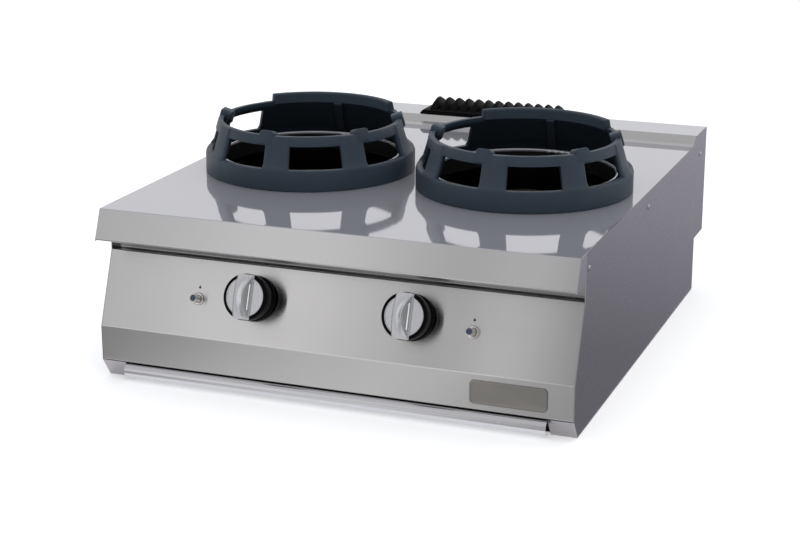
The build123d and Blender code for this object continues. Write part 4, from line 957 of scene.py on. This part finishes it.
@dataclass
class ControlFace:
    """Where things sit on the sloping control panel."""

    lean: float = math.radians(20.7)
    foot_y: float = -0.4425
    fold_z: float = 0.0905

    def place(self, x: float, up: float, out: float = 0.0) -> Matrix:
        """Return axes on the panel: X along it, Y up its slope, Z out of it.

        Args:
            x: Place along the panel, in metres.
            up: Place up its slope from the fold.
            out: Distance out from its face.

        Returns:
            Matrix from those axes to the range's frame.
        """
        sine, cosine = math.sin(self.lean), math.cos(self.lean)
        turn = Matrix(((1, 0, 0), (0, sine, -cosine), (0, cosine, sine))).to_4x4()
        origin = Vector(
            (x, self.foot_y + up * sine - out * cosine, self.fold_z + up * cosine + out * sine)
        )
        return Matrix.Translation(origin) @ turn


@dataclass
class PanelPart:
    """What knob and igniter share: a place on the panel and a side."""

    side: Side
    panel: ControlFace
    x: float = 0.0
    up: float = 0.0

    def start(self, up: float = 0.0, out: float = 0.0) -> Shape:
        """Start a shape with the panel's axes at the part's place.

        Args:
            up: Distance from that place up the panel.
            out: Distance from it out of the panel.

        Returns:
            The empty shape.
        """
        return Shape(self.panel.place(self.side.value * self.x, self.up + up, out))


@dataclass
class Knob(PanelPart):
    """Black knob with its satin insert, grip bar and white indicator line."""

    x: float = 0.133
    up: float = 0.073
    radius: float = 0.0368
    insert_radius: float = 0.0318
    insert_gap: float = 0.0001
    front: float = 0.043
    grip_half: float = 0.0356
    grip_left: float = 0.0190
    grip_right: float = 0.0124
    grip_sink: float = 0.0009
    crest_middle: float = -0.0017
    crest_end: float = 0.0125
    facet_slope: float = 0.68
    ledge_width: float = 0.0022
    ledge_rise: float = 0.0008
    bead_width: float = 0.0013
    flank_curve: float = 1.7
    flank_steps: int = 7
    sections: int = 28
    rim_margin: float = 0.0005
    end_taper: float = 0.004
    end_power: int = 14
    crest_margin: float = 0.0008
    least_crest: float = 0.0003
    bead_share: float = 0.3
    bead_rise: float = 1.3
    flank_foot: float = 0.25
    ledge_round: float = 0.0002
    ledge_fall: float = 0.0003
    grip_rounding: float = 0.0004
    mark_x: float = 0.0074
    mark_length: float = 0.041
    mark_width: float = 0.0019
    mark_sink: float = 0.0004
    mark_rise: float = 0.00030
    mark_rounding: float = 0.00005
    groove_share: float = 1.9
    groove_margin: float = 0.0022
    groove_rise: float = 0.00012
    bore: float = 0.0095
    back: float = 0.0056
    floor: float = 0.0400
    skirt: Outline = (
        (0.0315, 0.0056), (0.0362, 0.0056), (0.0368, 0.0064), (0.0368, 0.0095), (0.0361, 0.0112),
        (0.0348, 0.0130), (0.0345, 0.0165), (0.0349, 0.0195), (0.0362, 0.0222), (0.0368, 0.0250),
    )
    rim: float = 0.0022
    disc_rim: Outline = (
        (0.0, 0.0427), (0.0004, 0.0432), (0.0011, 0.0432), (0.0018, 0.0424),
    )
    disc_back: float = 0.0402

    def body(self) -> bpy.types.Object:
        """Build the black body: skirt, waist and rounded front rim."""
        shape = self.start()
        shape.lathe(
            [
                (self.bore, self.back),
                *self.skirt,
                *arc((self.radius - self.rim, self.front - self.rim), self.rim, 0, 90, 6),
                (self.insert_radius + 2 * self.insert_gap, self.front),
                (self.insert_radius + self.insert_gap, self.floor),
                (self.bore, self.floor),
                (self.bore, self.back),
            ]
        )
        body = shape.finish(
            self.side.node("knob_body"), KNOB_BLACK, self.side.node("knob"), "knob_black", crease=30.0
        )
        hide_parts(self.side.node("knob"))
        return body

    def disc(self) -> bpy.types.Object:
        """Build the satin disc with its bright raised rim."""
        shape = self.start()
        edge = self.insert_radius - self.insert_gap
        rim = [(edge - inset, height) for inset, height in self.disc_rim]
        shape.lathe([(0.0, self.disc_back), (edge, self.disc_back), *rim, (0.0, rim[-1][1])])
        disc = shape.finish(
            self.side.node("knob_disc"), KNOB_SATIN, self.side.node("knob"), "knob_satin", crease=25.0
        )
        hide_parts(self.side.node("knob_insert"))
        return disc

    def facet_height(self, x: float) -> float:
        """Return how far the grip's sloping face stands out of the rim at a place across it."""
        return self.ledge_rise + (self.grip_right - self.ledge_width - x) * self.facet_slope

    def section(self, y: float) -> list[Point]:
        """Cross-section of the grip at a place along its length.

        Args:
            y: Place along the grip, up the panel from the knob's axis.

        Returns:
            Points of the closed section: left foot, hollow flank, crest, sloping face, ledge, right foot.
        """
        share = abs(y) / self.grip_half
        reach = math.sqrt(self.radius**2 - y**2) - self.rim_margin
        fade = 1.0 - share**self.end_power
        left = -min(self.grip_left - self.end_taper * share**2, reach)
        right = min(self.grip_right, reach)
        step = right - self.ledge_width
        arched = self.crest_middle + (self.crest_end - self.crest_middle) * share**2
        crest = min(arched, step - self.crest_margin)
        low = self.ledge_rise * fade
        high = low + max(self.facet_height(crest) - self.ledge_rise, self.least_crest) * fade
        foot = left + self.bead_width
        start, sink, bead = self.flank_foot * low, -self.grip_sink, left + self.bead_share * self.bead_width
        points = [(left, y, sink), (left, y, low), (bead, y, low * self.bead_rise)]
        for part in (index / self.flank_steps for index in range(self.flank_steps + 1)):
            points.append((foot + (crest - foot) * part, y, start + (high - start) * part**self.flank_curve))
        soft, fall = self.ledge_round, self.ledge_fall
        points += [(step, y, low + soft), (step + fall, y, low - soft)]
        return points + [(right, y, low - fall), (right + soft, y, sink)]

    def grip(self) -> bpy.types.Object:
        """Build the grip bar: a hollow flank, an arched crest and a face that slopes to the right."""
        shape = self.start(out=self.front)
        ways = [math.sin(math.pi * (index / self.sections - 0.5)) for index in range(self.sections + 1)]
        shape.skin([shape.line(self.section(self.grip_half * way), closed=True)[1] for way in ways])
        bmesh.ops.recalc_face_normals(shape.mesh, faces=shape.mesh.faces)
        shape.soften(self.grip_rounding, segments=2, angle=48.0)
        return shape.finish(
            self.side.node("knob_grip"), KNOB_SATIN, self.side.node("knob"), "knob_satin", crease=30.0
        )

    def mark(self) -> list[bpy.types.Object]:
        """Build the groove, a grey bar of painted shade, and the white line in it, on the grip's sloping
        face.
        """
        pieces = []
        width, length = self.mark_width, self.mark_length
        bars = (
            ("knob_groove", width * self.groove_share, length + self.groove_margin, self.groove_rise),
            ("knob_mark", width, length, self.mark_rise),
        )
        # the groove's grey bar is painted shade
        finishes = ((GROOVE_SHADE, "knob_black"), (WHITE_MARK, "knob_satin"))
        spot = Vector((self.mark_x, 0.0, self.facet_height(self.mark_x)))
        tilt = Matrix.Translation(spot) @ Matrix.Rotation(math.atan(self.facet_slope), 4, "Y")
        for (name, width, length, rise), (finish, slot) in zip(bars, finishes):
            shape = self.start(out=self.front)
            shape.place = shape.place @ tilt
            half, end, sink = width / 2, length / 2, -self.mark_sink
            bar = [(-half, -end, sink), (half, -end, sink), (half, end, sink), (-half, end, sink)]
            shape.prism(bar, (0, 0, self.mark_sink + rise))
            shape.soften(self.mark_rounding, segments=1)
            pieces.append(shape.finish(self.side.node(name), finish, self.side.node("knob"), slot))
        return pieces

    def build(self) -> None:
        """Build the knob's pieces."""
        self.body()
        self.disc()
        self.grip()
        self.mark()


@dataclass
class Igniter(PanelPart):
    """Plated collar and push button with a dark dish, and a flame sign over them."""

    x: float = 0.232
    up: float = 0.062
    collar_radius: float = 0.0100
    button_radius: float = 0.0062
    dish_radius: float = 0.0050
    bore_gap: float = 0.0003
    collar_edge: float = 0.0012
    collar_round: float = 0.0016
    collar_front: float = 0.0039
    button_back: float = -0.0078
    button_round: float = 0.0007
    button_front: float = 0.0210
    dish_back: float = 0.0182
    dish_gap: float = 0.00005
    dish: Outline = ((1.0, 0.0180), (1.0, 0.0204), (0.72, 0.0196), (0.0, 0.0190))
    sign_rise: float = 0.0165
    sign_height: float = 0.0058
    sign_share: float = 0.42
    sign_gap: float = 0.00002
    sign_thickness: float = 0.00008
    flame: tuple[tuple[float, float], ...] = (
        (-0.35, 0.0), (0.35, 0.0), (0.92, 0.22), (0.78, 0.48), (0.42, 0.62), (0.10, 1.0),
        (-0.28, 0.66), (-0.74, 0.50), (-0.92, 0.22),
    )

    def collar(self) -> bpy.types.Object:
        """Build the rounded collar."""
        shape = self.start()
        bore, radius, soft = self.button_radius + self.bore_gap, self.collar_radius, self.collar_round
        shape.lathe(
            [
                (bore, 0.0),
                (radius, 0.0),
                (radius, self.collar_edge),
                *arc((radius - soft, self.collar_edge + 0.0010), soft, 10, 80, 5),
                (bore + 0.0005, self.collar_front),
                (bore, self.collar_front - 0.0005),
                (bore, 0.0),
            ],
            steps=64,
        )
        collar = shape.finish(self.side.node("collar_ring"), CHROME, "chassis", "igniter_chrome", crease=30.0)
        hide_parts(self.side.node("igniter_collar"))
        return collar

    def button(self) -> bpy.types.Object:
        """Build the button with its rounded front edge."""
        shape = self.start()
        radius, soft = self.button_radius, self.button_round
        shape.lathe(
            [
                (0.0, self.button_back),
                (radius, self.button_back),
                (radius, self.button_front - 2 * soft),
                *arc((radius - soft, self.button_front - soft), soft, 8, 90, 4),
                (self.dish_radius + 0.0002, self.button_front),
                (self.dish_radius, self.button_front - 0.0003),
                (self.dish_radius, self.dish_back),
                (0.0, self.dish_back),
            ],
            steps=48,
        )
        button = shape.finish(
            self.side.node("push_button"),
            CHROME,
            self.side.node("igniter_button"),
            "igniter_chrome",
            crease=30.0,
        )
        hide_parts(self.side.node("igniter_button"))
        return button

    def filling(self) -> bpy.types.Object:
        """Build the dark dish that fills the button's recess."""
        shape = self.start()
        edge = self.dish_radius - self.dish_gap
        outline = [(share * edge, height) for share, height in self.dish]
        shape.lathe([(0.0, outline[0][1]), *outline], steps=40)
        return shape.finish(
            self.side.node("button_dish"), NAVY_DISH, self.side.node("igniter_button"), "igniter_plastic"
        )

    def sign(self) -> bpy.types.Object:
        """Build the small flame sign, printed on the panel."""
        shape = self.start(self.sign_rise, self.sign_gap)
        half, tall = self.sign_share * self.sign_height, self.sign_height
        shape.prism([(x * half, y * tall, 0) for x, y in self.flame], (0, 0, self.sign_thickness))
        return shape.finish(self.side.node("flame_sign"), PRINT_BLACK, "chassis", "knob_black")

    def build(self) -> None:
        """Build the igniter's pieces."""
        self.collar()
        self.button()
        self.filling()
        self.sign()


@dataclass
class BadgePlate:
    """Bare plate with rounded corners and a raised border."""

    x: float = 0.296
    z: float = 0.0615
    face_y: float = -0.4425
    width: float = 0.124
    height: float = 0.038
    corner: float = 0.007
    thickness: float = 0.0012
    border: float = 0.0030
    border_rise: float = 0.0009
    border_step: float = 0.0005
    rounding: float = 0.00035

    def build(self) -> bpy.types.Object:
        """Build the plate from a rounded rectangle, inset and raised at its border."""
        turn = Matrix(((1, 0, 0), (0, 0, -1), (0, 1, 0))).to_4x4()
        shape = Shape(Matrix.Translation((self.x, self.face_y, self.z)) @ turn)
        outline: list[Point] = []
        for quarter, (way_x, way_y) in enumerate(((1, 1), (-1, 1), (-1, -1), (1, -1))):
            middle = (way_x * (self.width / 2 - self.corner), way_y * (self.height / 2 - self.corner))
            start = 90 * quarter
            outline += [(*point, 0.0) for point in arc(middle, self.corner, start, start + 90, 6)]
        shape.prism(outline, (0, 0, self.thickness + self.border_rise))
        fronts = [face for face in shape.mesh.faces if len(face.verts) == len(outline)]
        front = min(fronts, key=lambda face: face.calc_center_median().y)
        bmesh.ops.inset_region(shape.mesh, faces=[front], thickness=self.border, depth=0)
        bmesh.ops.inset_region(shape.mesh, faces=[front], thickness=self.border_step, depth=-self.border_rise)
        shape.soften(self.rounding, segments=2, angle=30.0)
        badge = shape.finish("badge", BADGE, "chassis", "badge_metal", crease=35.0)
        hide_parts("badge_plate")
        return badge


@dataclass
class FlueGrille:
    """Black cast grille: a plate with a row of pointed teeth."""

    middle_y: float = 0.40675
    foot_z: float = 0.3003
    half_width: float = 0.145
    depth: float = 0.082
    base: float = 0.008
    base_slope: float = 0.006
    teeth: int = 13
    pitch: float = 0.020
    levels: tuple[Point, ...] = (
        (0.0080, 0.0355, -0.0005), (0.0064, 0.0300, 0.0050), (0.0044, 0.0185, 0.0125),
        (0.0021, 0.0060, 0.0187),
    )
    rounding: float = 0.0012

    def build(self) -> bpy.types.Object:
        """Build the plate and its teeth, each bridged from level to level."""
        shape = Shape(Matrix.Translation((0, self.middle_y - self.depth / 2, self.foot_z)))
        half, base, slope = self.half_width, self.base, self.base_slope
        plate = [(-half, 0, 0), (half, 0, 0), (half, 0, base - slope), (half - slope, 0, base)]
        plate += [(slope - half, 0, base), (-half, 0, base - slope)]
        shape.prism(plate, (0, self.depth, 0))
        for tooth in range(self.teeth):
            x = (tooth - (self.teeth - 1) / 2) * self.pitch
            loops = []
            for half_x, half_y, rise in self.levels:
                corners = [
                    (x + way_x * half_x, self.depth / 2 + way_y * half_y, self.base + rise)
                    for way_x, way_y in ((-1, -1), (1, -1), (1, 1), (-1, 1))
                ]
                loops.append(shape.line(corners, closed=True)[1])
            shape.skin(loops)
        bmesh.ops.recalc_face_normals(shape.mesh, faces=shape.mesh.faces)
        shape.soften(self.rounding, segments=2, angle=30.0)
        grille = shape.finish("grille", GRILLE_IRON, "flue_grille", "grille_black")
        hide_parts("flue_grille")
        return grille


@dataclass
class SideScrews:
    """Six pan-headed screws with a round recess in the head, three on each side panel."""

    face_x: float = 0.400
    z: float = 0.258
    ys: tuple[float, ...] = (-0.384, -0.009, 0.399)
    head_radius: float = 0.0045
    head_height: float = 0.0019
    shank_radius: float = 0.0020
    shank_length: float = 0.0060
    crown: tuple[tuple[float, float], ...] = (
        (1.0, 0.0), (0.97, 0.35), (0.82, 0.78), (0.5, 1.0), (0.28, 0.95), (0.24, 0.35), (0.0, 0.2),
    )

    def build(self) -> bpy.types.Object:
        """Build all six screws as one piece."""
        whole = Shape()
        shank = [(0.0, -self.shank_length), (self.shank_radius, -self.shank_length), (self.shank_radius, 0.0)]
        head = [(self.head_radius * share, self.head_height * rise) for share, rise in self.crown]
        for side in Side:
            turn = Matrix.Rotation(side.value * math.pi / 2, 4, "Y")
            for y in self.ys:
                whole.place = Matrix.Translation((side.value * self.face_x, y, self.z)) @ turn
                whole.lathe(shank + head, steps=24)
        screws = whole.finish("screws", SCREW_STEEL, "chassis", "screw_steel", crease=35.0)
        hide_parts("side_screws")
        return screws


# ---------------------------------------------------------------------------------------
# Studio
# ---------------------------------------------------------------------------------------


@dataclass
class Lamp:
    """One soft area lamp, which lights the range but isn't seen in its metal."""

    name: str
    place: Point
    aim: Point
    size: float
    power: float
    colour: Colour = WHITE

    def build(self) -> None:
        """Hang the lamp and turn it to its aim."""
        data = bpy.data.lights.new(self.name, "AREA")
        data.shape = "SQUARE"
        data.size = self.size
        data.energy = self.power
        data.color = self.colour
        lamp = bpy.data.objects.new(self.name, data)
        lamp.location = self.place
        lamp.rotation_euler = (Vector(self.aim) - Vector(self.place)).to_track_quat("-Z", "Y").to_euler()
        lamp.visible_glossy = False
        bpy.context.scene.collection.objects.link(lamp)


@dataclass
class Card:
    """Grey card on the floor that shows only as a reflection in metal.

    Its grey runs through stops of a place, in metres along one axis, and a brightness.
    """

    name: str
    low: tuple[float, float]
    high: tuple[float, float]
    z: float
    axis: int
    greys: Outline
    colour: Colour = WHITE

    def build(self) -> None:
        """Lay the card."""
        card = lay(self.name, self.low, self.high, self.z)
        card.visible_camera = False
        card.visible_diffuse = False
        card.visible_shadow = False
        graph = Graph(self.name)
        graph.constant("Base Color", (*BLACK, 1.0))
        graph.constant("Specular IOR Level", 0.0)
        graph.constant("Emission Color", (*self.colour, 1.0))
        start, end = self.greys[0][0], self.greys[-1][0]
        place = graph.span(graph.along(self.axis), start, end)
        stops = [((spot - start) / (end - start), grey) for spot, grey in self.greys]
        graph.feed("Emission Strength", graph.greys(place, stops))
        card.data.materials.append(graph.material)


def lay(name: str, low: tuple[float, float], high: tuple[float, float], z: float) -> bpy.types.Object:
    """Lay a level rectangle.

    Args:
        name: Name of the object.
        low: Its least X and Y.
        high: Its greatest X and Y.
        z: Its height.

    Returns:
        The new object.
    """
    mesh = bmesh.new()
    bmesh.ops.create_grid(mesh, x_segments=1, y_segments=1, size=0.5)
    bmesh.ops.scale(mesh, vec=(high[0] - low[0], high[1] - low[1], 1.0), verts=mesh.verts)
    bmesh.ops.translate(mesh, vec=((high[0] + low[0]) / 2, (high[1] + low[1]) / 2, z), verts=mesh.verts)
    data = bpy.data.meshes.new(name)
    mesh.to_mesh(data)
    mesh.free()
    sheet = bpy.data.objects.new(name, data)
    bpy.context.scene.collection.objects.link(sheet)
    return sheet


@dataclass
class Studio:
    """White floor, soft lamps, the room that the metal reflects, and the camera."""

    lens: float = 83.1
    camera_place: Point = (1.0719, -2.9379, 1.0556)
    camera_pitch: float = math.radians(16.85)
    camera_yaw: float = math.radians(-20.85)
    floor_half: float = 6.0
    floor_z: float = -0.0004
    floor_colour: Colour = (0.90, 0.90, 0.90)
    floor_roughness: float = 0.9
    floor_glow: float = 0.35
    soft_colour: Colour = (0.93, 0.95, 1.0)
    soft_light: float = 0.80
    room_edge: float = 100.0
    room: Outline = (
        (-100.0, 1.00), (100.0, 0.95), (-76.0, 0.95), (-58.0, 0.50), (-44.0, 0.55), (-36.0, 0.66),
        (-31.0, 0.70), (-27.5, 0.96), (-23.5, 0.96), (-20.8, 0.62), (-19.3, 0.42), (-18.5, 0.60),
        (-17.5, 1.05), (-16.8, 0.85), (-15.0, 0.24), (-10.0, 0.24), (0.0, 0.45), (20.0, 0.50),
        (35.0, 0.24), (72.0, 0.24),
    )
    ceiling: float = 0.62
    ceiling_edge: tuple[float, float] = (0.50, 0.72)
    lamps: tuple[Lamp, ...] = (
        Lamp("key_lamp", (1.7, -2.9, 2.6), (0.0, -0.2, 0.1), 1.6, 16.0, (1.0, 0.985, 0.97)),
        Lamp("top_lamp", (0.3, 0.2, 3.4), (0.0, 0.0, 0.2), 3.0, 22.0),
    )
    cards: tuple[Card, ...] = (
        Card(
            "side_card",
            (0.4008, -0.9), (2.4, 3.5),
            0.0004,
            1,
            ((-0.5, 0.21), (0.0, 0.23), (0.9, 0.40), (2.0, 0.50)),
            (1.0, 0.98, 1.12),
        ),
        Card(
            "front_card",
            (-1.3, -2.6), (0.9, -0.47),
            0.0002,
            0,
            (
                (-0.47, 0.32), (-0.38, 0.44), (-0.25, 0.62), (-0.08, 0.74), (0.03, 0.78),
                (0.14, 0.68), (0.24, 0.52), (0.36, 0.44),
            ),
        ),
    )

    def floor(self) -> None:
        """Lay the white floor; it glows a little for the camera and in metal, and keeps the shadow."""
        half = self.floor_half
        floor = lay("floor", (-half, -half), (half, half), self.floor_z)
        graph = Graph("floor_white")
        graph.constant("Base Color", (*self.floor_colour, 1.0))
        graph.constant("Roughness", self.floor_roughness)
        graph.constant("Specular IOR Level", 0.0)
        path = graph.node("LightPath", {})
        seen = path.outputs["Is Camera Ray"]
        for ray in ("Is Glossy Ray", "Is Transmission Ray"):
            seen = graph.math("MAXIMUM", seen, path.outputs[ray])
        graph.constant("Emission Color", (*WHITE, 1.0))
        graph.feed("Emission Strength", graph.math("MULTIPLY", seen, self.floor_glow))
        floor.data.materials.append(graph.material)

    def room_colour(self, tree: Tree) -> Socket:
        """Brightness of the room round the range, by the angle from its front, in degrees.

        Args:
            tree: Node tree of the world.

        Returns:
            Colour of the room in a direction.
        """
        way = tree.node("TexCoord", {}).outputs["Generated"]
        side, depth, height = tree.node("SeparateXYZ", {0: way}).outputs
        angle = tree.math("ARCTAN2", side, tree.math("MULTIPLY", depth, -1.0))
        edge = math.radians(self.room_edge)
        stops = [((turn + self.room_edge) / (2 * self.room_edge), grey) for turn, grey in self.room]
        walls = tree.greys(tree.span(angle, -edge, edge), stops)
        return tree.blend(tree.span(height, *self.ceiling_edge), walls, (self.ceiling,) * 3)

    def world(self) -> None:
        """Light the scene evenly, show white behind the range and the room in its metal."""
        world = bpy.data.worlds.new("studio_world")
        bpy.context.scene.world = world
        world.use_nodes = True
        world.cycles.sampling_method = "NONE"
        tree = Tree(world.node_tree)
        tree.nodes.clear()
        path = tree.node("LightPath", {})
        soft = {"Color": (*self.soft_colour, 1.0), "Strength": self.soft_light}
        shown = tree.node("Background", soft).outputs[0]
        for ray, colour in (("Is Glossy Ray", self.room_colour(tree)), ("Is Camera Ray", (*WHITE, 1.0))):
            background = tree.node("Background", {"Color": colour}).outputs[0]
            shown = tree.node("MixShader", {0: path.outputs[ray], 1: shown, 2: background}).outputs[0]
        tree.links.new(shown, tree.nodes.new("ShaderNodeOutputWorld").inputs[0])

    def camera(self) -> None:
        """Set the camera at the photograph's angle."""
        data = bpy.data.cameras.new("camera")
        data.lens = self.lens
        data.sensor_width = 36.0
        data.sensor_fit = "HORIZONTAL"
        camera = bpy.data.objects.new("camera", data)
        camera.location = self.camera_place
        camera.rotation_euler = (math.pi / 2 - self.camera_pitch, 0.0, -self.camera_yaw)
        bpy.context.scene.collection.objects.link(camera)
        bpy.context.scene.camera = camera

    def build(self) -> None:
        """Build the studio."""
        self.floor()
        self.world()
        for part in (*self.lamps, *self.cards):
            part.build()
        self.camera()
        bpy.context.scene.view_settings.view_transform = "Standard"


def main() -> None:
    """Load the frame, build every sub-assembly and set the scene."""
    logging.basicConfig(level=logging.INFO, format="%(name)s %(message)s")
    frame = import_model()
    Cabinet().dress(frame["nodes"])
    panel = ControlFace()
    for side in Side:
        WokRing(side).build()
        Knob(side, panel).build()
        Igniter(side, panel).build()
    BadgePlate().build()
    FlueGrille().build()
    SideScrews().build()
    Studio().build()


if __name__ == "__main__":
    main()
